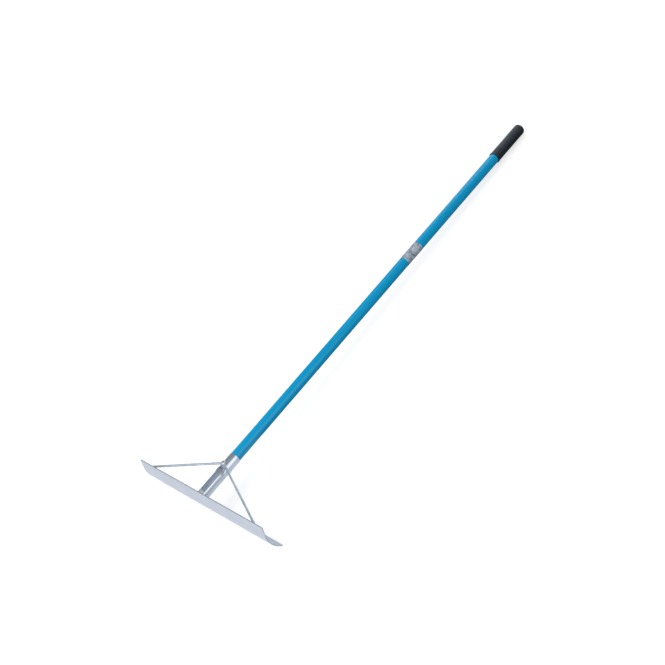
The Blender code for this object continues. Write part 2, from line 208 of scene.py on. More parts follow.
class Bench:
    """Blender's own modelling operators, used on one piece at a time."""

    def __init__(self, tool: ToolFrame) -> None:
        """Keep the tool's frame, in which pieces are laid down when they are done."""
        self.tool = tool

    @staticmethod
    def only(piece: Piece) -> None:
        """Select one piece alone and make it active.

        Args:
            piece: the piece.
        """
        bpy.ops.object.select_all(action="DESELECT")
        piece.select_set(True)
        bpy.context.view_layer.objects.active = piece

    @contextmanager
    def editing(self, piece: Piece) -> Iterator[None]:
        """Hold a piece open in edit mode with all of it selected.

        Args:
            piece: the piece.

        Returns:
            A context that closes the piece again.
        """
        self.only(piece)
        bpy.ops.object.mode_set(mode="EDIT")
        bpy.ops.mesh.select_all(action="SELECT")
        yield
        bpy.ops.object.mode_set(mode="OBJECT")

    @staticmethod
    def pick(piece: Piece, test: Callable[[Vector], bool], mode: Select = Select.CORNERS) -> None:
        """Select the corners that pass a test, and the edges and faces between them.

        Args:
            piece: a mesh in edit mode.
            test: says of a corner's place whether it is wanted.
            mode: what is left selected.
        """
        bpy.ops.mesh.select_mode(type="VERT")
        mesh = bmesh.from_edit_mesh(piece.data)
        for vert in mesh.verts:
            vert.select_set(test(vert.co))
        mesh.select_flush_mode()
        bmesh.update_edit_mesh(piece.data)
        bpy.ops.mesh.select_mode(type=mode.value)

    @staticmethod
    def put_ring(piece: Piece, ring: Ring, index: int) -> None:
        """Put the selected corners on a ring's points, by the number that each corner keeps.

        Args:
            piece: a piece that is being drawn.
            ring: the points.
            index: the ring's number, counted from the first one drawn.
        """
        mesh = bmesh.from_edit_mesh(piece.data)
        corner = mesh.verts.layers.int["corner"]
        turn = mesh.verts.layers.int["ring"]
        for vert in mesh.verts:
            if vert.select:
                vert.co = ring[vert[corner]]
                vert[turn] = index
        bmesh.update_edit_mesh(piece.data)

    def draw(self, name: str, rings: Sequence[Ring], hollow: bool = False, tip: bool = False) -> Piece:
        """Draw a piece out from a circle, ring by ring.

        Args:
            name: the piece's name.
            rings: the rings of points that it passes through, all of one count.
            hollow: join the last ring to the first, for a piece with a bore, and otherwise close both ends.
            tip: gather the last ring into one point.

        Returns:
            The piece, closed, with its faces pointing out.
        """
        bpy.ops.object.select_all(action="DESELECT")
        bpy.ops.mesh.primitive_circle_add(vertices=len(rings[0]), radius=1)
        piece = bpy.context.object
        piece.name = piece.data.name = name
        piece.data.attributes.new("corner", "INT", "POINT").data.foreach_set("value", range(len(rings[0])))
        piece.data.attributes.new("ring", "INT", "POINT")
        with self.editing(piece):
            self.put_ring(piece, rings[0], 0)
            if not hollow:
                bpy.ops.mesh.edge_face_add()
            for index, ring in enumerate(rings[1:], start=1):
                bpy.ops.mesh.extrude_region()
                self.put_ring(piece, ring, index)
            if tip:
                bpy.ops.mesh.merge(type="COLLAPSE")
            if hollow:
                self.pick_rings(piece, (0, len(rings) - 1))
                bpy.ops.mesh.bridge_edge_loops()
            bpy.ops.mesh.select_all(action="SELECT")
            bpy.ops.mesh.normals_make_consistent(inside=False)
        for layer in ("corner", "ring"):
            piece.data.attributes.remove(piece.data.attributes[layer])
        return piece

    @staticmethod
    def pick_rings(piece: Piece, wanted: tuple[int, int]) -> None:
        """Select two rings of a piece that is being drawn.

        Args:
            piece: a piece that is being drawn.
            wanted: the numbers of the two rings.
        """
        mesh = bmesh.from_edit_mesh(piece.data)
        turn = mesh.verts.layers.int["ring"]
        for vert in mesh.verts:
            vert.select_set(vert[turn] in wanted)
        mesh.select_flush_mode()
        bmesh.update_edit_mesh(piece.data)

    def turned(self, name: str, profile: Sequence[Spot], steps: int, tip: bool = False) -> Piece:
        """Draw a round piece along Y from a profile.

        Args:
            name: the piece's name.
            profile: (radius, y) points. With no tip, the profile is closed to a ring.
            steps: how many sides the piece has.
            tip: the last point lies on the axis.

        Returns:
            The piece.
        """
        def ring(radius: float, y: float) -> Ring:
            """One ring of the round piece."""
            turns = [math.tau * step / steps for step in range(steps)]
            return [Vector((radius * math.sin(a), y, radius * math.cos(a))) for a in turns]
        return self.draw(name, [ring(radius, y) for radius, y in profile], hollow=not tip, tip=tip)

    def modify(self, piece: Piece, kind: str, **settings: object) -> None:
        """Add a modifier with the given settings and apply it.

        Args:
            piece: the piece.
            kind: the modifier's type.
            settings: its settings.
        """
        self.only(piece)
        modifier = piece.modifiers.new(kind.lower(), kind)
        for name, value in settings.items():
            setattr(modifier, name, value)
        bpy.ops.object.modifier_apply(modifier=modifier.name)

    def carve(self, piece: Piece, cutter: Piece, way: Carving = Carving.CUT_AWAY, cut: int = 0) -> None:
        """Take a cutter out of a piece, or keep what they share, and remove the cutter.

        Args:
            piece: the piece.
            cutter: a closed piece.
            way: what the cutter does to the piece.
            cut: the number of the piece's material that the cut faces get.
        """
        if cut:
            self.paint(cutter, *piece.data.materials)
            cutter.data.polygons.foreach_set("material_index", [cut] * len(cutter.data.polygons))
        self.modify(piece, "BOOLEAN", object=cutter, operation=way.value, solver="EXACT")
        bpy.data.objects.remove(cutter)

    def soften(self, piece: Piece, width: float, segments: int = 2, angle: float = math.radians(40)) -> None:
        """Round a piece's sharp edges."""
        self.modify(piece, "BEVEL", width=width, segments=segments, limit_method="ANGLE", angle_limit=angle)

    @staticmethod
    def paint(piece: Piece, *materials: bpy.types.Material) -> None:
        """Give a piece its materials, in the order of its faces' numbers."""
        for material in materials:
            piece.data.materials.append(material)

    def finish(self, piece: Piece, slot: str, node: str, smooth: float = math.radians(35)) -> None:
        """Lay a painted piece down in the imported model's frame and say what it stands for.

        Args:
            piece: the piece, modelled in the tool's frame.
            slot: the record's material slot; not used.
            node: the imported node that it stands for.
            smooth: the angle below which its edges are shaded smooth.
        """
        self.only(piece)
        bpy.ops.object.transform_apply(location=True, rotation=True, scale=True)
        piece.data.transform(self.tool.matrix)
        bpy.ops.object.shade_smooth_by_angle(angle=smooth)
        self.modify(piece, "WEIGHTED_NORMAL", keep_sharp=True)
        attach(piece, "root")
        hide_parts(node)
        log.info("%s: %d faces, stands for %s", piece.name, len(piece.data.polygons), node)


class Value:
    """A shader's socket. A sum or product of values adds its Math nodes."""

    def __init__(self, shader: "Shader", socket: bpy.types.NodeSocket) -> None:
        """Keep the socket and the shader that it belongs to."""
        self.shader = shader
        self.socket = socket

    def math(self, operation: str, first: "Value | float", second: "Value | float") -> "Value":
        """Add one Math node.

        Args:
            operation: the node's operation.
            first: its first value.
            second: its second value.

        Returns:
            The node's value.
        """
        return self.shader.add("ShaderNodeMath", {"operation": operation}, {0: first, 1: second})

    def __add__(self, other: "Value | float") -> "Value":
        """This value plus another."""
        return self.math("ADD", self, other)

    def __radd__(self, other: float) -> "Value":
        """A number plus this value."""
        return self.math("ADD", other, self)

    def __sub__(self, other: "Value | float") -> "Value":
        """This value minus another."""
        return self.math("SUBTRACT", self, other)

    def __rsub__(self, other: float) -> "Value":
        """A number minus this value."""
        return self.math("SUBTRACT", other, self)

    def __mul__(self, other: "Value | float") -> "Value":
        """This value times another."""
        return self.math("MULTIPLY", self, other)

    def __rmul__(self, other: float) -> "Value":
        """A number times this value."""
        return self.math("MULTIPLY", other, self)

    def __abs__(self) -> "Value":
        """This value without its sign."""
        return self.math("ABSOLUTE", self, 0.0)


class Shader:
    """One material's nodes."""

    def __init__(self, name: str, tool: ToolFrame) -> None:
        """Start a material with a Principled shader, and a point in the tool's frame to put patterns on.

        Args:
            name: the material's name.
            tool: the tool's frame, in which patterns are laid out.
        """
        self.material = bpy.data.materials.new(name)
        self.material.use_nodes = True
        self.tree = self.material.node_tree
        self.surface = self.tree.nodes["Principled BSDF"]
        back = tool.matrix.inverted()
        place = self.add("ShaderNodeTexCoord", output="Object")
        self.place = self.add("ShaderNodeMapping", inputs={
            "Vector": place, "Location": back.to_translation(), "Rotation": back.to_euler()})

    def add(self, kind: str, settings: dict[str, object] | None = None,
            inputs: dict[int | str, object] | None = None, output: int | str = 0) -> Value:
        """Add one node.

        Args:
            kind: the node's type.
            settings: its own settings. The key stops holds a ramp's (place, colour) stops.
            inputs: its sockets' values, or the values that they are linked to.
            output: the socket that is wanted from it.

        Returns:
            The wanted socket.
        """
        node = self.tree.nodes.new(kind)
        for name, setting in (settings or {}).items():
            if name == "stops":
                self.set_stops(node, setting)
            else:
                setattr(node, name, setting)
        for name, value in (inputs or {}).items():
            self.feed(node, name, value)
        return Value(self, node.outputs[output])

    @staticmethod
    def set_stops(node: bpy.types.Node, stops: Sequence[tuple[float, Colour]]) -> None:
        """Give a colour ramp its stops.

        Args:
            node: the ramp's node.
            stops: the (place, colour) pairs.
        """
        elements = node.color_ramp.elements
        while len(elements) < len(stops):
            elements.new(0.5)
        for element, (place, colour) in zip(elements, stops):
            element.position = place
            element.color = (*colour, 1)

    def feed(self, node: bpy.types.Node, name: int | str, value: object) -> None:
        """Set one of a node's sockets, or link it.

        Args:
            node: the node.
            name: the socket's name or number.
            value: what it is set to, or the value that it is linked to.
        """
        if isinstance(value, Value):
            self.tree.links.new(value.socket, node.inputs[name])
        else:
            node.inputs[name].default_value = value

    def set(self, **inputs: object) -> None:
        """Set or link the shader's own sockets, whose names have _ for a space."""
        for name, value in inputs.items():
            self.feed(self.surface, name.replace("_", " "), value)

    def stretched(self, scale: Point) -> Value:
        """The place, drawn out so that a pattern gets longer along one way than along another."""
        return self.add("ShaderNodeMapping", inputs={"Vector": self.place, "Scale": scale})

    def noise(self, scale: float, detail: float = 2.0, place: Value | None = None,
              roughness: float = 0.5) -> Value:
        """A noise from 0 to 1, centred on one half.

        Args:
            scale: how many of its waves fit in a metre.
            detail: how many finer layers it has.
            place: the point that it is read at.
            roughness: how strong the finer layers are.

        Returns:
            The noise.
        """
        inputs = {"Vector": place or self.place, "Scale": scale, "Detail": detail, "Roughness": roughness}
        return self.add("ShaderNodeTexNoise", inputs=inputs)

    def reach(self, axis: str) -> Value:
        """How far the place lies along one axis of the tool's frame."""
        return self.add("ShaderNodeSeparateXYZ", inputs={"Vector": self.place}, output=axis)

    def fade(self, value: Value, start: float, end: float) -> Value:
        """A value turned into a share: 0 at its start, 1 at its end."""
        return self.add("ShaderNodeMapRange", {"interpolation_type": "SMOOTHSTEP"},
                        {"Value": value, "From Min": start, "From Max": end})

    def blend(self, share: "Value | float", first: "Value | Colour", second: "Value | Colour") -> Value:
        """One colour mixed into another by a share.

        Args:
            share: how much of the second colour there is, from 0 to 1.
            first: the first colour.
            second: the second colour.

        Returns:
            The mixed colour.
        """
        first, second = (item if isinstance(item, Value) else (*item, 1) for item in (first, second))
        inputs = {"Factor": share, 6: first, 7: second}
        return self.add("ShaderNodeMix", {"data_type": "RGBA"}, inputs, output=2)

    def bump(self, height: Value, depth: float, strength: float = 1.0) -> None:
        """Raise the surface by a height from 0 to 1, times a depth in metres."""
        inputs = {"Height": height, "Distance": depth, "Strength": strength}
        self.set(Normal=self.add("ShaderNodeBump", inputs=inputs))


@dataclass(frozen=True)
class Finish:
    """What every finish shares: a name, and nodes that its own class mixes."""

    name: str

    def mix(self, shader: Shader) -> None:
        """Set the shader's nodes up."""
        raise NotImplementedError

    def build(self, tool: ToolFrame) -> bpy.types.Material:
        """Make the material.

        Args:
            tool: the tool's frame, in which its patterns are laid out.

        Returns:
            The material.
        """
        shader = Shader(self.name, tool)
        self.mix(shader)
        return shader.material


@dataclass(frozen=True)
class Plating(Finish):
    """Plated steel: soft clouds of tone, fine drawn lines along one way, and a faint grain."""

    colour: Colour
    shade: Colour
    roughness: float
    metallic: float
    lines: Point = (1, 1, 1)
    line_depth: float = 0.00001
    cloud_scale: float = 14.0

    def mix(self, shader: Shader) -> None:
        """Mix the clouds, the drawn lines and the grain.

        Args:
            shader: the nodes of the material.
        """
        clouds = shader.noise(self.cloud_scale, detail=3)
        lines = shader.noise(60, detail=2, place=shader.stretched(self.lines))
        grain = shader.noise(2600, detail=1)
        tone = shader.fade(clouds * 0.6 + lines * 0.4, 0.36, 0.66)
        shader.set(Base_Color=shader.blend(tone, self.shade, self.colour), Metallic=self.metallic,
                   Roughness=self.roughness + (clouds - 0.5) * 0.12 + (lines - 0.5) * 0.10)
        shader.bump(lines * 0.7 + grain * 0.3, self.line_depth)


@dataclass(frozen=True)
class ShearedEdge(Finish):
    """A cut edge: duller and darker than the faces beside it, with marks across the sheet."""

    name: str = "sheared_edge"
    colour: Colour = screen_colour(176, 188, 202)
    shade: Colour = screen_colour(148, 160, 175)
    across: Point = (14, 1, 1)
    roughness: float = 0.42
    metallic: float = 0.75
    depth: float = 0.00006

    def mix(self, shader: Shader) -> None:
        """Mix the marks across the sheet.

        Args:
            shader: the nodes of the material.
        """
        marks = shader.noise(90, detail=3, place=shader.stretched(self.across))
        shader.set(Base_Color=shader.blend(shader.fade(marks, 0.35, 0.65), self.shade, self.colour),
                   Metallic=self.metallic, Roughness=self.roughness + marks * 0.2)
        shader.bump(marks, self.depth)


@dataclass(frozen=True)
class SocketBore(Finish):
    """The socket's dull inside, with a painted highlight low along its left side, painted light on its side
    walls by the blade, and painted light growing towards the channel's upper end.
    """

    name: str = "socket_bore"
    colour: Colour = screen_colour(182, 195, 210)
    shade: Colour = screen_colour(174, 187, 202)
    # The colour of all the painted light: the highlight, the patch by the blade and the paler upper end.
    painted_light_colour: Colour = screen_colour(248, 250, 252)
    # Painted highlight: a bright, glossier strip low along the bore's left side, where a lamp's reflection
    # would lie.
    highlight_place: float = -0.0093
    highlight_half: float = 0.0020
    highlight_height: Spot = (-0.004, -0.008)
    painted_light_end: float = -0.047
    highlight_fade: float = 0.003
    # Painted light: a bright patch on the side walls by the blade, where the bore lies in shade.
    light_patch_start: float = -0.122
    light_patch_fade: float = 0.004
    light_patch_reach: Spot = (0.0115, 0.014)
    ragged: float = 0.006
    # Painted light: the bore grows paler towards the channel's upper end, which lies in shade.
    upper_light_start: float = -0.080
    upper_light_share: float = 0.35
    roughness: float = 0.55
    metallic: float = 0.3
    depth: float = 0.00004

    def mix(self, shader: Shader) -> None:
        """Mix the dull scale with the painted highlight, the painted light by the blade and the painted light
        towards the channel's upper end.

        Args:
            shader: the nodes of the material.
        """
        scale = shader.noise(30, detail=4, place=shader.stretched((3, 1, 3)))
        across, along, height = (shader.reach(axis) for axis in "XYZ")
        # Painted highlight: a bright strip low on the bore's left, ending at the channel's upper end.
        near_highlight = shader.fade(abs(across - self.highlight_place), self.highlight_half * 1.2, self.highlight_half * 0.75)
        low = shader.fade(height, *self.highlight_height)
        painted_highlight = near_highlight * low * shader.fade(along, self.painted_light_end, self.painted_light_end - self.highlight_fade)
        # Painted light: a bright patch, with a ragged edge, on the side walls by the blade.
        ragged = along + (shader.noise(160, detail=3) - 0.5) * self.ragged
        beside = shader.fade(abs(across), *self.light_patch_reach)
        light_patch = shader.fade(ragged, self.light_patch_start, self.light_patch_start - self.light_patch_fade) * beside
        dull = shader.blend(scale, self.shade, self.colour)
        # Painted light: paler towards the channel's upper end, which lies in shade.
        upper_light = shader.fade(along, self.upper_light_start, self.painted_light_end) * self.upper_light_share
        dull = shader.blend(upper_light, dull, self.painted_light_colour)
        shader.set(Base_Color=shader.blend(painted_highlight + light_patch, dull, self.painted_light_colour),
                   Metallic=self.metallic + painted_highlight * 0.6,
                   Roughness=self.roughness - painted_highlight * 0.27 + (scale - 0.5) * 0.1)
        shader.bump(scale, self.depth)


@dataclass(frozen=True)
class WeldPlating(Finish):
    """Plated weld metal, finely specked."""

    name: str = "weld_plating"
    colour: Colour = screen_colour(196, 203, 214)
    shade: Colour = screen_colour(140, 151, 165)
    roughness: float = 0.3
    metallic: float = 0.8
    depth: float = 0.00004

    def mix(self, shader: Shader) -> None:
        """Mix the specks.

        Args:
            shader: the nodes of the material.
        """
        specks = shader.noise(900, detail=3)
        shader.set(Base_Color=shader.blend(shader.fade(specks, 0.38, 0.6), self.shade, self.colour),
                   Metallic=self.metallic, Roughness=self.roughness + specks * 0.25)
        shader.bump(specks, self.depth)


@dataclass(frozen=True)
class BlueCoat(Finish):
    """The handle's blue coat: even and half glossy, with soft dimples and a few faint scuffs."""

    name: str = "blue_coat"
    colour: Colour = screen_colour(5, 152, 202)
    shade: Colour = screen_colour(4, 146, 196)
    specular: float = 0.29
    roughness: float = 0.12
    depth: float = 0.000025

    def mix(self, shader: Shader) -> None:
        """Mix the clouds, the dimples and a few scuffs.

        Args:
            shader: the nodes of the material.
        """
        clouds = shader.noise(9, detail=2, place=shader.stretched((4, 1, 4)))
        dimples = shader.noise(620, detail=1)
        scuffs = shader.fade(shader.noise(40, detail=4, place=shader.stretched((8, 1, 8))), 0.62, 0.74)
        shader.set(Base_Color=shader.blend(clouds, self.shade, self.colour), Metallic=0.0,
                   Roughness=self.roughness + (clouds - 0.5) * 0.05 + scuffs * 0.12,
                   Specular_IOR_Level=self.specular)
        shader.bump(dimples, self.depth)


@dataclass(frozen=True)
class BareTube(Finish):
    """The tube's cut end and its bore, where its own metal shows."""

    name: str = "bare_tube_metal"
    colour: Colour = screen_colour(205, 208, 212)
    shade: Colour = screen_colour(170, 174, 180)
    roughness: float = 0.3
    metallic: float = 0.9
    depth: float = 0.00003

    def mix(self, shader: Shader) -> None:
        """Mix the metal's fine marks.

        Args:
            shader: the nodes of the material.
        """
        marks = shader.noise(500, detail=3)
        shader.set(Base_Color=shader.blend(marks, self.shade, self.colour), Metallic=self.metallic,
                   Roughness=self.roughness + marks * 0.2)
        shader.bump(marks, self.depth)


@dataclass(frozen=True)
class BandFoil(Finish):
    """The bare band's silver foil, mottled in three greys, with fine creases along the handle."""

    name: str = "mottled_foil"
    light: Colour = screen_colour(180, 193, 207)
    middle: Colour = screen_colour(153, 166, 181)
    dark: Colour = screen_colour(116, 128, 143)
    bounds: tuple[float, ...] = (0.44, 0.48, 0.53, 0.57)
    roughness: float = 0.42
    metallic: float = 0.2
    depth: float = 0.00012

    def mix(self, shader: Shader) -> None:
        """Mix the mottle and the creases.

        Args:
            shader: the nodes of the material.
        """
        patches = shader.noise(70, detail=3, roughness=0.65)
        specks = shader.noise(230, detail=2)
        mottle = patches * 0.6 + specks * 0.4
        stops = tuple(zip(self.bounds, (self.dark, self.middle, self.middle, self.light)))
        tone = shader.add("ShaderNodeValToRGB", {"stops": stops}, {"Fac": mottle})
        creases = shader.noise(50, detail=3, place=shader.stretched((5, 1, 5)))
        shader.set(Base_Color=tone, Metallic=self.metallic, Roughness=self.roughness + (patches - 0.5) * 0.3)
        shader.bump(creases * 0.6 + specks * 0.4, self.depth)


@dataclass(frozen=True)
class GripRubber(Finish):
    """Near-black soft rubber with a fine pebbled skin, a little smoother where it is worn."""

    name: str = "pebbled_rubber"
    colour: Colour = screen_colour(22, 29, 39)
    worn: Colour = screen_colour(32, 40, 51)
    specular: float = 0.48
    roughness: float = 0.38
    pebble_count: float = 620.0
    depth: float = 0.00012
    strength: float = 0.8

    def mix(self, shader: Shader) -> None:
        """Mix the pebbles and the wear.

        Args:
            shader: the nodes of the material.
        """
        cells = {"Vector": shader.place, "Scale": self.pebble_count, "Smoothness": 0.5}
        pebbles = shader.add("ShaderNodeTexVoronoi", {"feature": "SMOOTH_F1"}, cells, output="Distance")
        wear = shader.fade(shader.noise(24, detail=3), 0.42, 0.70)
        shader.set(Base_Color=shader.blend(wear, self.colour, self.worn), Metallic=0.0,
                   Roughness=self.roughness - wear * 0.08, Specular_IOR_Level=self.specular)
        shader.bump(1 - pebbles, self.depth, self.strength)


@dataclass(frozen=True)
class MouldedPlastic(Finish):
    """The plug's grey plastic: even, with a dull moulded grain and faint flow lines along it."""

    name: str = "moulded_plastic"
    colour: Colour = screen_colour(124, 130, 139)
    shade: Colour = screen_colour(110, 116, 125)
    roughness: float = 0.5
    depth: float = 0.00005

    def mix(self, shader: Shader) -> None:
        """Mix the flow lines and the grain.

        Args:
            shader: the nodes of the material.
        """
        flow = shader.noise(110, detail=2, place=shader.stretched((3, 0.4, 3)))
        grain = shader.noise(1500, detail=2)
        shader.set(Base_Color=shader.blend(flow, self.shade, self.colour), Metallic=0.0,
                   Roughness=self.roughness + (grain - 0.5) * 0.2)
        shader.bump(grain * 0.6 + flow * 0.4, self.depth)


@dataclass(frozen=True)
class Finishes:
    """All the finishes, made once."""

    blade: bpy.types.Material
    edge: bpy.types.Material
    socket: bpy.types.Material
    bore: bpy.types.Material
    cut: bpy.types.Material
    brace: bpy.types.Material
    weld: bpy.types.Material
    bolt: bpy.types.Material
    coat: bpy.types.Material
    bare: bpy.types.Material
    foil: bpy.types.Material
    rubber: bpy.types.Material
    plug: bpy.types.Material

    @classmethod
    def build(cls, tool: ToolFrame) -> "Finishes":
        """Make every finish of the rake.

        Args:
            tool: the tool's frame, in which patterns are laid out.

        Returns:
            The finishes.
        """
        finishes = {
            "blade": Plating("blade_plating", screen_colour(195, 203, 216), screen_colour(186, 194, 208),
                             roughness=0.42, metallic=0.55, lines=(0.6, 12, 12)),
            "edge": ShearedEdge(),
            "socket": Plating("socket_plating", screen_colour(206, 212, 222), screen_colour(184, 193, 206),
                              roughness=0.18, metallic=0.95, lines=(12, 0.6, 12), cloud_scale=22),
            "bore": SocketBore(),
            "cut": ShearedEdge("socket_cut", screen_colour(140, 152, 166), screen_colour(116, 128, 142)),
            "brace": Plating("brace_plating", screen_colour(200, 208, 220), screen_colour(178, 189, 203),
                             roughness=0.30, metallic=0.75, cloud_scale=60),
            "weld": WeldPlating(),
            "bolt": Plating("bolt_plating", screen_colour(222, 227, 234), screen_colour(206, 213, 223),
                            roughness=0.30, metallic=0.8, cloud_scale=120),
            "coat": BlueCoat(),
            "bare": BareTube(),
            "foil": BandFoil(),
            "rubber": GripRubber(),
            "plug": MouldedPlastic(),
        }
        return cls(**{use: finish.build(tool) for use, finish in finishes.items()})


def quarter(centre: Spot, radii: Spot, start: float, end: float, steps: int) -> list[Spot]:
    """Points on an ellipse's stretch between two angles.

    Args:
        centre: the ellipse's centre.
        radii: its two radii.
        start: the first angle.
        end: the last angle.
        steps: how many stretches there are between the points.

    Returns:
        The points, both ends included.
    """
    angles = [start + (end - start) * step / steps for step in range(steps + 1)]
    return [(centre[0] + radii[0] * math.cos(a), centre[1] + radii[1] * math.sin(a)) for a in angles]


@dataclass
class Blade:
    """The wide curved sheet."""

    section: BladeSection = BladeSection()
    top_corner: float = 0.005
    lip_corner: float = 0.003
    edge_round: float = 0.0005
    curve_steps: int = 48
    corner_steps: int = 8

    def build(self, bench: Bench) -> Piece:
        """Model the sheet from a plane, spun round the curve's centre.

        Args:
            bench: the bench that pieces are made on.

        Returns:
            The sheet, which has no wall yet.
        """
        flat_y, flat_z = self.section.flat_end()
        bpy.ops.object.select_all(action="DESELECT")
        middle = (0, (-HEAD_REACH + flat_y) / 2, (BLADE_TOP_RISE + flat_z) / 2)
        upright = (math.radians(90) - BLADE_LEAN, 0, 0)
        bpy.ops.mesh.primitive_plane_add(size=1, location=middle, rotation=upright)
        piece = bpy.context.object
        piece.name = piece.data.name = "blade_sheet"
        piece.scale = (BLADE_LENGTH, BLADE_FLAT, 1)
        bpy.ops.object.transform_apply(location=True, rotation=True, scale=True)
        centre_y, centre_z = self.section.centre()
        with bench.editing(piece):
            bench.pick(piece, lambda point: point.z < middle[2], Select.EDGES)
            bpy.ops.mesh.spin(steps=self.curve_steps, angle=-self.section.curve,
                              center=(0, centre_y, centre_z), axis=(1, 0, 0))
            bpy.ops.mesh.select_all(action="SELECT")
            bpy.ops.mesh.remove_doubles(threshold=0.000001)
        self.round_corners(bench, piece)
        return piece

    def round_corners(self, bench: Bench, piece: Piece) -> None:
        """Round the sheet's four corners.

        Args:
            bench: the bench that pieces are made on.
            piece: the sheet.
        """
        lowest = min(vert.co.z for vert in piece.data.vertices)
        side = BLADE_LENGTH / 2 - FIT_GAP
        with bench.editing(piece):
            for height, radius in ((BLADE_TOP_RISE, self.top_corner), (lowest, self.lip_corner)):
                bench.pick(piece, lambda point, z=height: abs(point.z - z) < FIT_GAP and abs(point.x) > side)
                bpy.ops.mesh.bevel(offset=radius, segments=self.corner_steps, affect="VERTICES")
            bpy.ops.mesh.select_all(action="SELECT")
            bpy.ops.mesh.normals_make_consistent(inside=False)

    def dress(self, bench: Bench, finishes: Finishes) -> None:
        """Give the sheet its wall and its finish.

        Args:
            bench: the bench that pieces are made on.
            finishes: all the finishes.
        """
        piece = self.build(bench)
        bench.paint(piece, finishes.blade, finishes.edge)
        front = sum(face.normal.y * face.area for face in piece.data.polygons) < 0
        bench.modify(piece, "SOLIDIFY", thickness=BLADE_THICKNESS - HAIR, offset=1.0 if front else -1.0,
                     use_even_offset=True, material_offset_rim=1)
        bench.soften(piece, self.edge_round, segments=3, angle=math.radians(50))
        bench.finish(piece, "plated_steel", "blade")


@dataclass
class Socket:
    """The rolled tube that holds the handle, opened on top and trimmed to the blade's back."""

    section: BladeSection = BladeSection()
    channel_start: float = 0.047
    channel_ramp: float = 0.018
    channel_corner: float = 0.006
    edge_round: float = 0.00022
    sides: int = 128
    spare: float = 0.012

    def pipe(self, bench: Bench) -> Piece:
        """The closed tube before it is cut.

        Args:
            bench: the bench that pieces are made on.

        Returns:
            The tube.
        """
        far = -HEAD_REACH - 2 * TUBE_RADIUS
        return bench.turned("socket_tube", ((SLEEVE_BORE, 0), (SOCKET_RADIUS, 0), (SOCKET_RADIUS, far),
                                            (SLEEVE_BORE, far)), self.sides)

    def slab(self, bench: Bench, name: str, outline: Sequence[Spot]) -> Piece:
        """A cutter with a (y, z) outline, wider than the socket."""
        half = SOCKET_RADIUS + self.spare
        return bench.draw(name, [[Vector((x, y, z)) for y, z in outline] for x in (-half, half)])

    def channel(self, bench: Bench) -> Piece:
        """The cutter that opens the top, with a slanted end and a rounded inner corner.

        Args:
            bench: the bench that pieces are made on.

        Returns:
            The cutter.
        """
        rim = SOCKET_RADIUS * math.cos(SOCKET_RIM_ANGLE)
        slope = math.atan2(SOCKET_RADIUS - rim, self.channel_ramp)
        foot = -self.channel_start - self.channel_ramp - self.channel_corner * math.tan(slope / 2)
        down = math.radians(-90)
        far, high = -HEAD_REACH - 3 * TUBE_RADIUS, SOCKET_RADIUS + self.spare
        radii = (self.channel_corner, self.channel_corner)
        corner = quarter((foot, rim + self.channel_corner), radii, down, down + slope, steps=8)
        top = (-self.channel_start + self.spare / math.tan(slope), high)
        return self.slab(bench, "channel_cutter", [(far, rim), *corner, top, (far, high)])

    def trim(self, bench: Bench) -> Piece:
        """The cutter that follows the blade's back.

        Args:
            bench: the bench that pieces are made on.

        Returns:
            The cutter.
        """
        low = -2 * SOCKET_RADIUS
        high = BLADE_TOP_RISE + self.spare
        steps = 24
        heights = [high + (low - high) * step / steps for step in range(steps + 1)]
        seat = [(self.section.back_y(z) + FIT_GAP / 2, z) for z in heights]
        far = 3 * -HEAD_REACH
        return self.slab(bench, "blade_cutter", [*seat, (far, low), (far, high)])

    def dress(self, bench: Bench, finishes: Finishes) -> None:
        """Cut the tube, soften its edges and finish it.

        Args:
            bench: the bench that pieces are made on.
            finishes: all the finishes.
        """
        piece = self.pipe(bench)
        bench.paint(piece, finishes.socket, finishes.bore, finishes.cut)
        outside, bore, cut = range(3)
        middle = (SLEEVE_BORE + SOCKET_RADIUS) / 2
        for face in piece.data.polygons:
            in_bore = math.hypot(face.center.x, face.center.z) < middle - HAIR
            wall = bore if in_bore else outside
            face.material_index = cut if face.center.y > -HAIR else wall
        for cutter in (self.channel(bench), self.trim(bench), bolt_cutter(bench)):
            bench.carve(piece, cutter, cut=cut)
        bench.soften(piece, self.edge_round)
        bench.finish(piece, "socket_steel", "socket")


def bolt_cutter(bench: Bench) -> Piece:
    """The cutter for the bolt's hole, square to the handle.

    Args:
        bench: the bench that pieces are made on.

    Returns:
        The cutter.
    """
    half = 2 * SOCKET_RADIUS
    bpy.ops.object.select_all(action="DESELECT")
    bpy.ops.mesh.primitive_cylinder_add(vertices=48, radius=BOLT_HOLE_RADIUS, depth=2 * half,
                                        location=(0, BOLT_PLACE, 0))
    cutter = bpy.context.object
    bench.only(cutter)
    bpy.ops.object.transform_apply(location=True, rotation=True, scale=True)
    return cutter


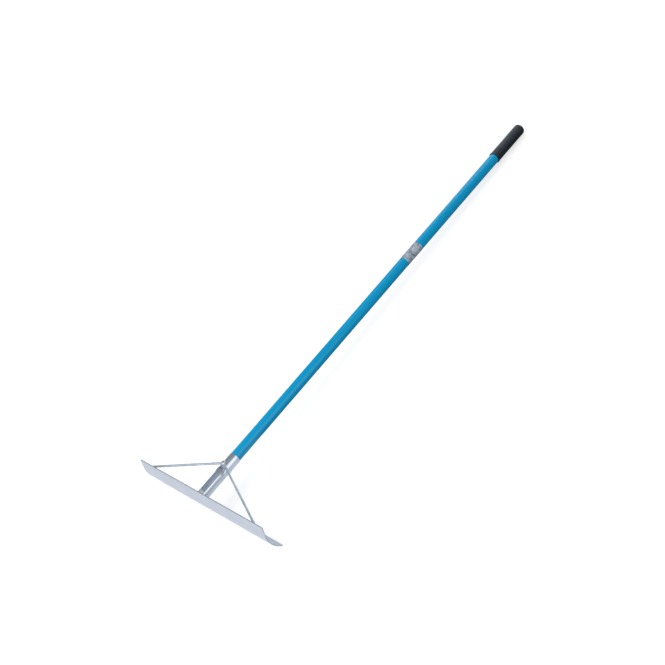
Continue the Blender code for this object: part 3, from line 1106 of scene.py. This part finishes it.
@dataclass
class Brace:
    """One rod: a flattened eye on the bolt, a straight run and a foot along the blade's back."""

    side: Side
    eye_height: float
    rod_radius: float = 0.00315
    eye_radius: float = 0.0075
    neck: float = 0.009
    foot_length: float = 0.024
    foot_inset: float = 0.0135
    foot_depth: float = 0.015
    bend_radius: float = 0.012
    end_round: float = 0.0006
    sides: int = 32

    def foot_centre(self) -> Vector:
        """The middle of the rod's foot, as (y, z) in a vector with no X.

        Returns:
            The foot's middle.
        """
        y = -HEAD_REACH - self.foot_depth * math.sin(BLADE_LEAN)
        z = BLADE_TOP_RISE - self.foot_depth * math.cos(BLADE_LEAN)
        away = self.rod_radius + FIT_GAP / 3
        return Vector((0, y + away * math.cos(BLADE_LEAN), z - away * math.sin(BLADE_LEAN)))

    def ring(self, centre: Vector, along: Vector, half_width: float, half_thickness: float,
             flatness: float) -> Ring:
        """A ring of points round the rod.

        Args:
            centre: the ring's middle.
            along: the way the rod runs there.
            half_width: half its width.
            half_thickness: half its thickness.
            flatness: 0 for a circle, up to 1 for nearly a flat bar's section.

        Returns:
            The ring.
        """
        across = Vector((0, 0, 1)).cross(along).normalized()
        up = along.cross(across).normalized()
        power = 1 - 2 * flatness / 3
        points = []
        for step in range(self.sides):
            turn = math.tau * step / self.sides
            width = math.copysign(abs(math.cos(turn)) ** power, math.cos(turn)) * half_width
            height = math.copysign(abs(math.sin(turn)) ** power, math.sin(turn)) * half_thickness
            points.append(centre + across * width + up * height)
        return points

    def rod(self, centre: Vector, along: Vector, share: float = 1.0) -> Ring:
        """A ring of the plain round rod, or of its rounded end at a share of its radius."""
        return self.ring(centre, along, self.rod_radius * share, self.rod_radius * share, 0)

    def eye(self, bolt: Vector, level: Vector) -> list[Ring]:
        """The rings of the flat eye and of the neck where it grows round.

        Args:
            bolt: the eye's middle.
            level: the way from the bolt to the foot, seen from above.

        Returns:
            The rings, from the eye's far side to the neck.
        """
        thin = EYE_THICKNESS / 2
        steps = 28
        end = math.pi - math.asin(self.rod_radius / self.eye_radius)
        rings = []
        for step in range(1, steps + 1):
            angle = end * step / steps
            centre = bolt - level * self.eye_radius * math.cos(angle)
            rings.append(self.ring(centre, level, self.eye_radius * math.sin(angle), thin, 1))
        steps = 9
        for step in range(1, steps):
            share = step / steps
            eased = share * share * (3 - 2 * share)
            thick = thin + (self.rod_radius - thin) * eased
            centre = bolt + level * (self.eye_radius + self.neck * share)
            rings.append(self.ring(centre, level, self.rod_radius, thick, 1 - eased))
        return rings

    def build(self, bench: Bench) -> Piece:
        """Draw the rod out from its eye to its foot.

        Args:
            bench: the bench that pieces are made on.

        Returns:
            The rod, with no hole in its eye yet.
        """
        outward = Vector((self.side.value, 0, 0))
        foot_end = self.foot_centre() + outward * (BLADE_LENGTH / 2 - self.foot_inset)
        bend = foot_end - outward * self.foot_length
        bolt = Vector((0, BOLT_PLACE, self.eye_height))
        level = Vector((bend.x - bolt.x, bend.y - bolt.y, 0)).normalized()
        neck = bolt + level * (self.eye_radius + self.neck)
        run = (bend - neck).normalized()
        rings = self.eye(bolt, level)
        rings.append(self.rod(neck, (level + run).normalized()))
        turn = run.angle(outward)
        centre = bend + (outward - run).normalized() * (self.bend_radius / math.cos(turn / 2))
        spoke = bend - run * (self.bend_radius * math.tan(turn / 2)) - centre
        steps = 14
        for step in range(steps + 1):
            swing = Matrix.Rotation(turn * step / steps, 3, run.cross(outward).normalized())
            rings.append(self.rod(centre + swing @ spoke, swing @ run))
        steps = 4
        for step in range(steps + 1):
            angle = math.radians(90) * step / steps
            place = foot_end - outward * (self.end_round * (1 - math.sin(angle)))
            share = 1 - self.end_round * (1 - math.cos(angle)) / self.rod_radius
            rings.append(self.rod(place, outward, share))
        return bench.draw("brace_rod_" + self.side.word, rings)

    def dress(self, bench: Bench, finishes: Finishes) -> None:
        """Drill the eye and finish the rod.

        Args:
            bench: the bench that pieces are made on.
            finishes: all the finishes.
        """
        piece = self.build(bench)
        bench.paint(piece, finishes.brace)
        bench.carve(piece, bolt_cutter(bench))
        bench.finish(piece, "brace_steel", "brace_" + self.side.word)


@dataclass
class WeldBeads:
    """The rippled beads that hold the socket and the rods' feet to the blade."""

    section: BladeSection = BladeSection()
    leg: float = 0.0039
    sink: float = 0.00015
    ripple: float = 0.0016
    ripple_height: float = 0.16
    crescent: float = 0.35
    hollow: float = 0.18
    end_share: float = 0.35
    end_run: float = 1.1
    outer_end: float = math.radians(165)
    inner_end: float = math.radians(118)
    foot_length: float = 0.015
    foot_tip: float = 0.0023
    foot_reach: float = 0.0024
    foot_corner: float = 0.42
    foot_height: float = 0.95

    def swell(self, travelled: float, length: float, lean: float) -> float:
        """How full the bead is at a distance along it: rippled, and drawn in at its ends.

        Args:
            travelled: the distance from its start.
            length: its whole length.
            lean: from -1 to 1 across the bead, because each ripple is a crescent.

        Returns:
            A share of its full size.
        """
        phase = (travelled / self.ripple + self.crescent * lean * lean) % 1
        crest = 1 - self.ripple_height * phase ** 1.5
        end = min(travelled, length - travelled) / (self.end_run * self.leg)
        full = math.sin(math.radians(90) * min(end, 1.0))
        return crest * (self.end_share + (1 - self.end_share) * full)

    def profile(self, legs: Spot, travelled: float, length: float) -> list[Spot]:
        """The bead's section at a distance along it, as (out, up) from the corner that it fills.

        Args:
            legs: how far the bead reaches out and up at its fullest.
            travelled: the distance from the bead's start.
            length: its whole length.

        Returns:
            The section's points.
        """
        steps = 9
        points = [(-self.sink, -self.sink)]
        for step in range(steps + 1):
            lean = 2 * step / steps - 1
            size = self.swell(travelled, length, lean)
            angle = math.radians(90) * step / steps
            bulge = 1 - self.hollow * math.sin(2 * angle)
            out = legs[0] * size * math.cos(angle) * bulge
            up = legs[1] * size * math.sin(angle) * bulge
            points.append((max(out, 0) - self.sink * (step == steps), max(up, 0) - self.sink * (step == 0)))
        return points

    def wall_path(self) -> list[tuple[Vector, Vector]]:
        """The socket's wall on the blade, as (x, z) points with the way out from the wall at each.

        Returns:
            Points up the wall's outside, round its rim and down its inside.
        """
        def spoke(angle: float) -> Vector:
            """The way from the handle's axis at an angle from the top."""
            return Vector((math.sin(angle), math.cos(angle)))
        steps = 90
        span = self.outer_end - SOCKET_RIM_ANGLE
        outside = [spoke(self.outer_end - span * step / steps) for step in range(steps + 1)]
        path = [(way * SOCKET_RADIUS, way) for way in outside]
        rim = spoke(SOCKET_RIM_ANGLE)
        over = Vector((-rim.y, rim.x))
        half_wall = (SOCKET_RADIUS - SLEEVE_BORE) / 2
        steps = 24
        for step in range(1, steps):
            turn = math.pi * step / steps
            way = rim * math.cos(turn) + over * math.sin(turn)
            path.append((rim * (SOCKET_RADIUS - half_wall) + way * half_wall, way))
        steps = 44
        span = self.inner_end - SOCKET_RIM_ANGLE
        inside = [spoke(SOCKET_RIM_ANGLE + span * step / steps) for step in range(steps + 1)]
        return path + [(way * SLEEVE_BORE, -way) for way in inside]

    def socket_bead(self, bench: Bench, side: Side) -> Piece:
        """One bead along the side of the socket, over its rim and back inside, on the blade's back.

        Args:
            bench: the bench that pieces are made on.
            side: the side of the handle.

        Returns:
            The bead.
        """
        path = self.wall_path()
        crests = [point + way * self.leg / 3 for point, way in path]
        travelled = [0.0]
        for before, after in zip(crests, crests[1:]):
            travelled.append(travelled[-1] + (after - before).length)
        rings = []
        for (point, way), reached in zip(path, travelled):
            ring = []
            for out, up in self.profile((self.leg, self.leg), reached, travelled[-1]):
                across, height = point + way * out
                ring.append(Vector((side.value * across, self.section.back_y(height) + up, height)))
            rings.append(ring)
        return bench.draw("socket_bead_" + side.word, rings)

    def foot_bead(self, bench: Bench, brace: Brace, edge: Edge) -> Piece:
        """One bead along the edge of a rod's foot.

        Args:
            bench: the bench that pieces are made on.
            brace: the rod.
            edge: the edge of its foot.

        Returns:
            The bead.
        """
        away = Vector((0, math.cos(BLADE_LEAN), -math.sin(BLADE_LEAN)))
        down = Vector((0, -math.sin(BLADE_LEAN), -math.cos(BLADE_LEAN))) * edge.value
        on_blade = brace.foot_centre() - away * (brace.rod_radius + FIT_GAP / 3)
        root = on_blade + down * brace.rod_radius * self.foot_corner
        legs = (brace.rod_radius * (1 - self.foot_corner) + self.foot_reach,
                brace.rod_radius * self.foot_height)
        end = BLADE_LENGTH / 2 - brace.foot_inset - self.foot_tip
        steps = 80
        rings = []
        for step in range(steps + 1):
            travelled = self.foot_length * step / steps
            x = brace.side.value * (end - travelled)
            rings.append([Vector((x, 0, 0)) + root + down * out + away * up
                          for out, up in self.profile(legs, travelled, self.foot_length)])
        return bench.draw("foot_bead_" + brace.side.word + "_" + edge.word, rings)

    def dress(self, bench: Bench, finishes: Finishes, braces: Sequence[Brace]) -> None:
        """Model and finish all six beads.

        Args:
            bench: the bench that pieces are made on.
            finishes: all the finishes.
            braces: the two rods.
        """
        for brace in braces:
            word = brace.side.word
            beads = {"socket_weld_" + word: self.socket_bead(bench, brace.side)}
            for edge in Edge:
                beads["brace_weld_" + word + "_" + edge.word] = self.foot_bead(bench, brace, edge)
            for node, bead in beads.items():
                bench.paint(bead, finishes.weld)
                bench.finish(bead, "weld_metal", node, smooth=math.radians(60))


@dataclass
class BraceBolt:
    """The round-headed bolt through both eyes, with its washer and nut."""

    head_radius: float = 0.0065
    head_height: float = 0.003
    head_rim: float = 0.0008
    head_round: float = 0.00025
    dome_start: float = math.radians(6)
    dome_end: float = math.radians(86)
    washer_radius: float = 0.0069
    washer_thickness: float = 0.0012
    washer_round: float = 0.00018
    nut_half_width: float = 0.005
    nut_height: float = 0.004
    nut_face: float = 0.97
    nut_blank: float = 1.05
    nut_slope: float = math.radians(30)
    tip_reach: float = 0.0012
    tip_chamfer: float = 0.0008
    sides: int = 64

    def heights(self) -> tuple[float, float, float, float]:
        """The heights of the head's seat, the washer's top, the nut's top and the bolt's tip.

        Returns:
            The four heights, as z in the tool's frame.
        """
        seat = UPPER_EYE + EYE_THICKNESS / 2 + FIT_GAP
        washer = -SOCKET_RADIUS - FIT_GAP
        nut = washer - self.washer_thickness - FIT_GAP
        return seat, washer, nut, nut - self.nut_height - self.tip_reach

    def stand_up(self, bench: Bench, piece: Piece) -> None:
        """Turn a piece made along Y to stand along Z at the bolt's place.

        Args:
            bench: the bench that pieces are made on.
            piece: the piece.
        """
        bench.only(piece)
        piece.rotation_euler = (math.radians(90), 0, 0)
        piece.location = (0, BOLT_PLACE, 0)
        bpy.ops.object.transform_apply(location=True, rotation=True, scale=True)

    def bolt(self, bench: Bench) -> Piece:
        """The bolt: a shank with a bevelled tip and a low domed head.

        Args:
            bench: the bench that pieces are made on.

        Returns:
            The bolt.
        """
        seat, _, _, tip = self.heights()
        soft = self.head_round
        rim = quarter((self.head_radius - soft, seat + soft), (soft, soft), math.radians(-90), 0, steps=3)
        dome = quarter((0, seat + self.head_rim), (self.head_radius, self.head_height - self.head_rim),
                       self.dome_start, self.dome_end, steps=18)
        shank = [(BOLT_RADIUS - self.tip_chamfer, tip), (BOLT_RADIUS, tip + self.tip_chamfer),
                 (BOLT_RADIUS, seat)]
        profile = [*shank, *rim, *dome, (0, seat + self.head_height)]
        piece = bench.turned("dome_bolt", profile, self.sides, tip=True)
        self.stand_up(bench, piece)
        return piece

    def washer(self, bench: Bench) -> Piece:
        """The flat washer, with stamped soft edges.

        Args:
            bench: the bench that pieces are made on.

        Returns:
            The washer.
        """
        _, top, _, _ = self.heights()
        low = top - self.washer_thickness
        piece = bench.turned("flat_washer", ((BOLT_HOLE_RADIUS, low), (self.washer_radius, low),
                                             (self.washer_radius, top), (BOLT_HOLE_RADIUS, top)), self.sides)
        bench.soften(piece, self.washer_round)
        self.stand_up(bench, piece)
        return piece

    def nut(self, bench: Bench) -> Piece:
        """The hexagon nut: a six-sided bar kept inside a double-coned blank, then drilled.

        Args:
            bench: the bench that pieces are made on.

        Returns:
            The nut.
        """
        _, _, top, _ = self.heights()
        low = top - self.nut_height
        corner = self.nut_half_width / math.cos(math.radians(30))
        face = self.nut_half_width * self.nut_face
        wide = corner * self.nut_blank
        drop = (wide - face) * math.tan(self.nut_slope)
        bpy.ops.object.select_all(action="DESELECT")
        bpy.ops.mesh.primitive_cylinder_add(vertices=6, radius=corner, depth=self.nut_height,
                                            location=(0, BOLT_PLACE, (low + top) / 2))
        piece = bpy.context.object
        piece.name = piece.data.name = "hexagon_nut"
        bench.only(piece)
        bpy.ops.object.transform_apply(location=True, rotation=True, scale=True)
        blank = bench.turned("nut_blank", ((face, low), (wide, low + drop), (wide, top - drop), (face, top),
                                           (0, top)), 96, tip=True)
        self.stand_up(bench, blank)
        bench.carve(piece, blank, Carving.KEEP_SHARED)
        bench.carve(piece, bolt_cutter(bench))
        return piece

    def dress(self, bench: Bench, finishes: Finishes) -> None:
        """Model and finish the three pieces.

        Args:
            bench: the bench that pieces are made on.
            finishes: all the finishes.
        """
        pieces = {"brace_bolt": self.bolt(bench), "brace_bolt_washer": self.washer(bench),
                  "brace_bolt_nut": self.nut(bench)}
        for node, piece in pieces.items():
            bench.paint(piece, finishes.bolt)
            bench.finish(piece, "bolt_steel", node)


@dataclass
class Handle:
    """The long blue tube, the plug in its lower end and the bare foil band round it."""

    plug_length: float = 0.060
    plug_recess: float = 0.001
    plug_chamfer: float = 0.0015
    band_start: float = 0.785
    band_width: float = 0.070
    band_thickness: float = 0.0003
    band_foil: float = 0.55
    band_edge: float = 0.7
    band_lap: float = math.radians(14)
    edge_round: float = 0.0003
    sides: int = 128

    def tube(self, bench: Bench, finishes: Finishes) -> Piece:
        """The tube, with bare metal on its cut end and in its bore.

        Args:
            bench: the bench that pieces are made on.
            finishes: all the finishes.

        Returns:
            The tube, painted.
        """
        bore = TUBE_RADIUS - TUBE_WALL
        far = GRIP_SHOULDER - FIT_GAP
        soft = self.edge_round
        profile = [(bore, -TUBE_SEAT + soft), (bore + soft, -TUBE_SEAT), (TUBE_RADIUS - soft, -TUBE_SEAT),
                   (TUBE_RADIUS, -TUBE_SEAT + soft), (TUBE_RADIUS, far), (bore, far)]
        piece = bench.turned("long_tube", profile, self.sides)
        bench.paint(piece, finishes.coat, finishes.bare)
        for face in piece.data.polygons:
            middle = face.center
            in_bore = math.hypot(middle.x, middle.z) < bore + soft
            face.material_index = int(in_bore or middle.y < -TUBE_SEAT + soft)
        bench.carve(piece, bolt_cutter(bench), cut=1)
        return piece

    def plug(self, bench: Bench) -> Piece:
        """The plug, with turned chamfers and its bolt hole.

        Args:
            bench: the bench that pieces are made on.

        Returns:
            The plug.
        """
        radius = TUBE_RADIUS - TUBE_WALL - FIT_GAP
        start = self.plug_recess - TUBE_SEAT
        end = start + self.plug_length
        chamfer = self.plug_chamfer
        piece = bench.turned("turned_plug", ((radius - chamfer, start), (radius, start + chamfer),
                                             (radius, end - chamfer), (radius - chamfer, end), (0, end)),
                             self.sides, tip=True)
        bench.carve(piece, bolt_cutter(bench))
        return piece

    def band(self, bench: Bench) -> Piece:
        """The band: one turn of foil whose end lies over its start on the underside.

        Args:
            bench: the bench that pieces are made on.

        Returns:
            The band.
        """
        thin = self.band_thickness * self.band_foil
        start, end = self.band_start, self.band_start + self.band_width
        edge = self.band_edge
        rings = []
        profile = ((0, start), (edge, start), (1, start + thin), (1, end - thin), (edge, end), (0, end))
        for radius_share, y in profile:
            ring = []
            for step in range(self.sides):
                turn = math.tau * step / self.sides
                over = 1 if abs(turn - math.pi) < self.band_lap / 2 else 0
                rise = radius_share * (thin + over * (self.band_thickness - thin))
                radius = TUBE_RADIUS + FIT_GAP / 3 + rise
                ring.append(Vector((radius * math.sin(turn), y, radius * math.cos(turn))))
            rings.append(ring)
        return bench.draw("foil_band", rings, hollow=True)

    def dress(self, bench: Bench, finishes: Finishes) -> None:
        """Model and finish the three pieces.

        Args:
            bench: the bench that pieces are made on.
            finishes: all the finishes.
        """
        bench.finish(self.tube(bench, finishes), "blue_coated_tube", "handle_tube")
        plug = self.plug(bench)
        bench.paint(plug, finishes.plug)
        bench.finish(plug, "plug_plastic", "handle_plug")
        band = self.band(bench)
        bench.paint(band, finishes.foil)
        bench.finish(band, "band_foil", "label_band")


@dataclass
class Grip:
    """The closed rubber sleeve, with a soft collar at its mouth and a domed end."""

    wall: float = 0.0015
    collar_length: float = 0.005
    collar_rise: float = 0.0008
    collar_round: float = 0.7
    collar_turn: float = math.radians(63)
    dome: float = 0.0124
    dome_end: float = math.radians(86.4)
    bore_floor: float = 0.3
    sides: int = 128

    def build(self, bench: Bench) -> Piece:
        """Draw the sleeve from the bottom of its bore, round its mouth and up to the tip of its dome.

        Args:
            bench: the bench that pieces are made on.

        Returns:
            The sleeve.
        """
        radius = SLEEVE_BORE + self.wall - HAIR
        collar = radius + self.collar_rise
        soft = self.collar_rise * self.collar_round
        end = GRIP_MOUTH + self.collar_length
        mouth = quarter((collar - soft, GRIP_MOUTH + soft), (soft, soft), math.radians(-90), 0, steps=6)
        crest = quarter((collar - soft, end - soft), (soft, soft), 0, self.collar_turn, steps=5)
        valley = quarter((radius + soft, end + soft), (soft, soft), math.pi + self.collar_turn, math.pi,
                         steps=5)
        rise = self.dome - HAIR
        dome = quarter((0, GRIP_SHOULDER), (radius, rise), 0, self.dome_end, steps=28)
        bore = [(SLEEVE_BORE * self.bore_floor, GRIP_SHOULDER), (SLEEVE_BORE, GRIP_SHOULDER),
                (SLEEVE_BORE, GRIP_MOUTH + soft / 2), (SLEEVE_BORE + soft / 2, GRIP_MOUTH)]
        profile = [*bore, *mouth, *crest, *valley, *dome, (0, GRIP_SHOULDER + rise)]
        return bench.turned("rubber_sleeve", profile, self.sides, tip=True)

    def dress(self, bench: Bench, finishes: Finishes) -> None:
        """Model and finish the sleeve.

        Args:
            bench: the bench that pieces are made on.
            finishes: all the finishes.
        """
        piece = self.build(bench)
        bench.paint(piece, finishes.rubber)
        bench.finish(piece, "grip_rubber", "grip")


@dataclass(frozen=True)
class Lamp:
    """One soft area lamp, with its power in watts and whether gloss shows it."""

    name: str
    place: Point
    target: Point
    size: Spot
    power: float
    in_gloss: bool = False

    def build(self) -> None:
        """Add the lamp."""
        bpy.ops.object.light_add(type="AREA", location=self.place)
        lamp = bpy.context.object
        lamp.name = self.name
        lamp.rotation_euler = (Vector(self.target) - Vector(self.place)).to_track_quat("-Z", "Y").to_euler()
        lamp.data.shape = "RECTANGLE"
        lamp.data.size, lamp.data.size_y = self.size
        lamp.data.energy = self.power
        lamp.visible_camera = False
        lamp.visible_glossy = self.in_gloss


@dataclass(frozen=True)
class Card:
    """A plain card round the rake that shows in its gloss alone, and neither lights nor shades it."""

    name: str
    place: Point
    target: Point
    size: Spot
    level: float
    colour: Colour = (0.88, 0.94, 1)

    def build(self) -> None:
        """Add the card."""
        bpy.ops.object.select_all(action="DESELECT")
        bpy.ops.mesh.primitive_plane_add(size=1, location=self.place)
        card = bpy.context.object
        card.name = card.data.name = self.name
        card.rotation_euler = (Vector(self.target) - Vector(self.place)).to_track_quat("Z", "Y").to_euler()
        card.scale = (*self.size, 1)
        material = bpy.data.materials.new(self.name)
        material.use_nodes = True
        shader = material.node_tree.nodes["Principled BSDF"]
        shader.inputs["Base Color"].default_value = (0, 0, 0, 1)
        shader.inputs["Specular IOR Level"].default_value = 0
        shader.inputs["Emission Color"].default_value = (*self.colour, 1)
        shader.inputs["Emission Strength"].default_value = self.level
        card.data.materials.append(material)
        for ray in ("camera", "diffuse", "transmission", "volume_scatter", "shadow"):
            setattr(card, "visible_" + ray, False)


@dataclass
class Studio:
    """A white floor, soft lamps, cards for the gloss and the photograph's camera."""

    camera_place: Point = (2.1131, -1.3417, 2.3814)
    camera_turn: Point = (42.3675, 21.4244, 39.3578)
    sensor_width: float = 36.0
    focal_share: float = 1.76272
    nearest: float = 0.05
    floor_side: float = 14.0
    floor_colour: Colour = (0.45, 0.45, 0.45)
    floor_glow: Spot = (0.66, 1.0)
    glow_reach: Spot = (1.6, 3.2)
    sky_fill: float = 0.54
    lamps: tuple[Lamp, ...] = (
        Lamp("key_lamp", (-0.5, -0.9, 2.6), (0, -0.3, 0), (1.6, 1.6), 26),
        Lamp("left_lamp", (-1.6, 1.7, 1.1), (0, 0.5, 0), (1.2, 1.4), 16),
        Lamp("right_lamp", (2.2, 0.5, 0.9), (0, 0.2, 0), (1.6, 1.0), 7),
        Lamp("front_lamp", (0.6, -2.6, 1.6), (0, -0.7, 0.08), (1.6, 1.2), 20, in_gloss=True),
    )
    cards: tuple[Card, ...] = (
        Card("left_card", (-1.5, -0.65, 1.3), (0, -0.65, 1.3), (1.7, 2.6), 0.42),
        Card("tube_left_card", (-1.5, 0.70, 1.3), (0, 0.70, 1.3), (1.0, 2.6), 0.08),
        Card("upper_left_card", (-1.41, 2.05, 1.46), (0, 2.05, 0.05), (1.7, 2.3), 1.25, (0.80, 0.93, 1)),
        Card("top_card", (-0.2, -0.25, 2.6), (-0.2, -0.25, 0), (2.6, 0.9), 0.60),
        Card("tube_top_card", (-0.2, 0.65, 2.6), (-0.2, 0.65, 0), (2.6, 0.9), 0.14),
        Card("grip_left_card", (-0.32, 2.62, 2.58), (-0.32, 2.62, 0), (0.9, 0.84), 3.2, (0.80, 0.93, 1)),
        Card("upper_tube_card", (0.55, 1.65, 2.6), (0.55, 1.65, 0), (2.7, 1.1), 0.22),
        Card("grip_card", (1.1, 2.62, 2.6), (1.1, 2.62, 0), (1.6, 0.84), 0.16),
        Card("strip_card", (1.9, 0.20, 1.62), (0, 0.20, 1.62), (1.3, 2.0), 1.62, (0.97, 0.98, 1)),
        Card("right_card", (1.9, 1.75, 1.30), (0, 1.75, 1.30), (1.8, 2.6), 0.20),
        Card("low_right_card", (1.8, 0.60, 0.30), (0, 0.60, 0.30), (0.5, 0.60), 0.30),
        Card("floor_card", (0.8, 0.565, 0.002), (0.8, 0.565, 1), (1.64, 2.17), 0.12),
        Card("socket_floor_card", (0.8, -0.64, 0.002), (0.8, -0.64, 1), (1.6, 0.24), 0.90),
        Card("socket_far_card", (1.1, -0.45, 0.003), (1.1, -0.45, 1), (1.0, 0.16), 0.90),
    )

    def camera(self) -> None:
        """Add the camera at the photograph's place, with its field of view."""
        bpy.ops.object.camera_add(location=self.camera_place,
                                  rotation=tuple(math.radians(turn) for turn in self.camera_turn))
        camera = bpy.context.object
        camera.data.sensor_width = self.sensor_width
        camera.data.lens = self.sensor_width * self.focal_share
        camera.data.clip_start = self.nearest
        bpy.context.scene.camera = camera

    @staticmethod
    def seen(tree: bpy.types.NodeTree) -> bpy.types.NodeSocket:
        """A share that is 1 for rays from the camera, from gloss and through glass, and 0 for the rest.

        Args:
            tree: the nodes of a material or of the world.

        Returns:
            The share's socket.
        """
        path = tree.nodes.new("ShaderNodeLightPath")
        total = path.outputs["Is Camera Ray"]
        for name in ("Is Glossy Ray", "Is Transmission Ray"):
            either = tree.nodes.new("ShaderNodeMath")
            either.operation = "MAXIMUM"
            tree.links.new(total, either.inputs[0])
            tree.links.new(path.outputs[name], either.inputs[1])
            total = either.outputs[0]
        return total

    def floor(self) -> None:
        """Add the pale floor, whose glow leaves only a faint shadow of the rake."""
        bpy.ops.object.select_all(action="DESELECT")
        bpy.ops.mesh.primitive_plane_add(size=self.floor_side)
        floor = bpy.context.object
        floor.name = "studio_floor"
        material = bpy.data.materials.new("pale_floor")
        material.use_nodes = True
        tree = material.node_tree
        shader = tree.nodes["Principled BSDF"]
        shader.inputs["Base Color"].default_value = (*self.floor_colour, 1)
        shader.inputs["Roughness"].default_value = 0.9
        shader.inputs["Specular IOR Level"].default_value = 0.0
        shader.inputs["Emission Color"].default_value = (1, 1, 1, 1)
        place = tree.nodes.new("ShaderNodeTexCoord")
        reach = tree.nodes.new("ShaderNodeVectorMath")
        reach.operation = "LENGTH"
        tree.links.new(place.outputs["Object"], reach.inputs[0])
        level = tree.nodes.new("ShaderNodeMapRange")
        for name, values in (("From", self.glow_reach), ("To", self.floor_glow)):
            level.inputs[name + " Min"].default_value = values[0]
            level.inputs[name + " Max"].default_value = values[1]
        tree.links.new(reach.outputs["Value"], level.inputs["Value"])
        glow = tree.nodes.new("ShaderNodeMath")
        glow.operation = "MULTIPLY"
        tree.links.new(level.outputs["Result"], glow.inputs[0])
        tree.links.new(self.seen(tree), glow.inputs[1])
        tree.links.new(glow.outputs[0], shader.inputs["Emission Strength"])
        floor.data.materials.append(material)

    def world(self) -> None:
        """Fill the room with even light and show it white."""
        world = bpy.data.worlds.new("studio_room")
        bpy.context.scene.world = world
        world.use_nodes = True
        tree = world.node_tree
        background = tree.nodes["Background"]
        background.inputs["Color"].default_value = (1, 1, 1, 1)
        level = tree.nodes.new("ShaderNodeMapRange")
        level.inputs["To Min"].default_value = self.sky_fill
        level.inputs["To Max"].default_value = 1.0
        tree.links.new(self.seen(tree), level.inputs["Value"])
        tree.links.new(level.outputs["Result"], background.inputs["Strength"])

    def build(self) -> None:
        """Set the whole studio up."""
        self.camera()
        self.floor()
        self.world()
        for lamp in self.lamps:
            lamp.build()
        for card in self.cards:
            card.build()
        bpy.context.scene.view_settings.view_transform = "Standard"


def main() -> None:
    """Build every sub-assembly in order, then the studio."""
    logging.basicConfig(level=logging.INFO, format="%(name)s %(message)s")
    tool = ToolFrame.from_record(frame["record"])
    bench = Bench(tool)
    finishes = Finishes.build(tool)
    braces = (Brace(Side.LEFT, LOWER_EYE), Brace(Side.RIGHT, UPPER_EYE))
    Studio().build()
    Blade().dress(bench, finishes)
    Socket().dress(bench, finishes)
    for brace in braces:
        brace.dress(bench, finishes)
    WeldBeads().dress(bench, finishes, braces)
    BraceBolt().dress(bench, finishes)
    Handle().dress(bench, finishes)
    Grip().dress(bench, finishes)


if __name__ == "__main__":
    main()
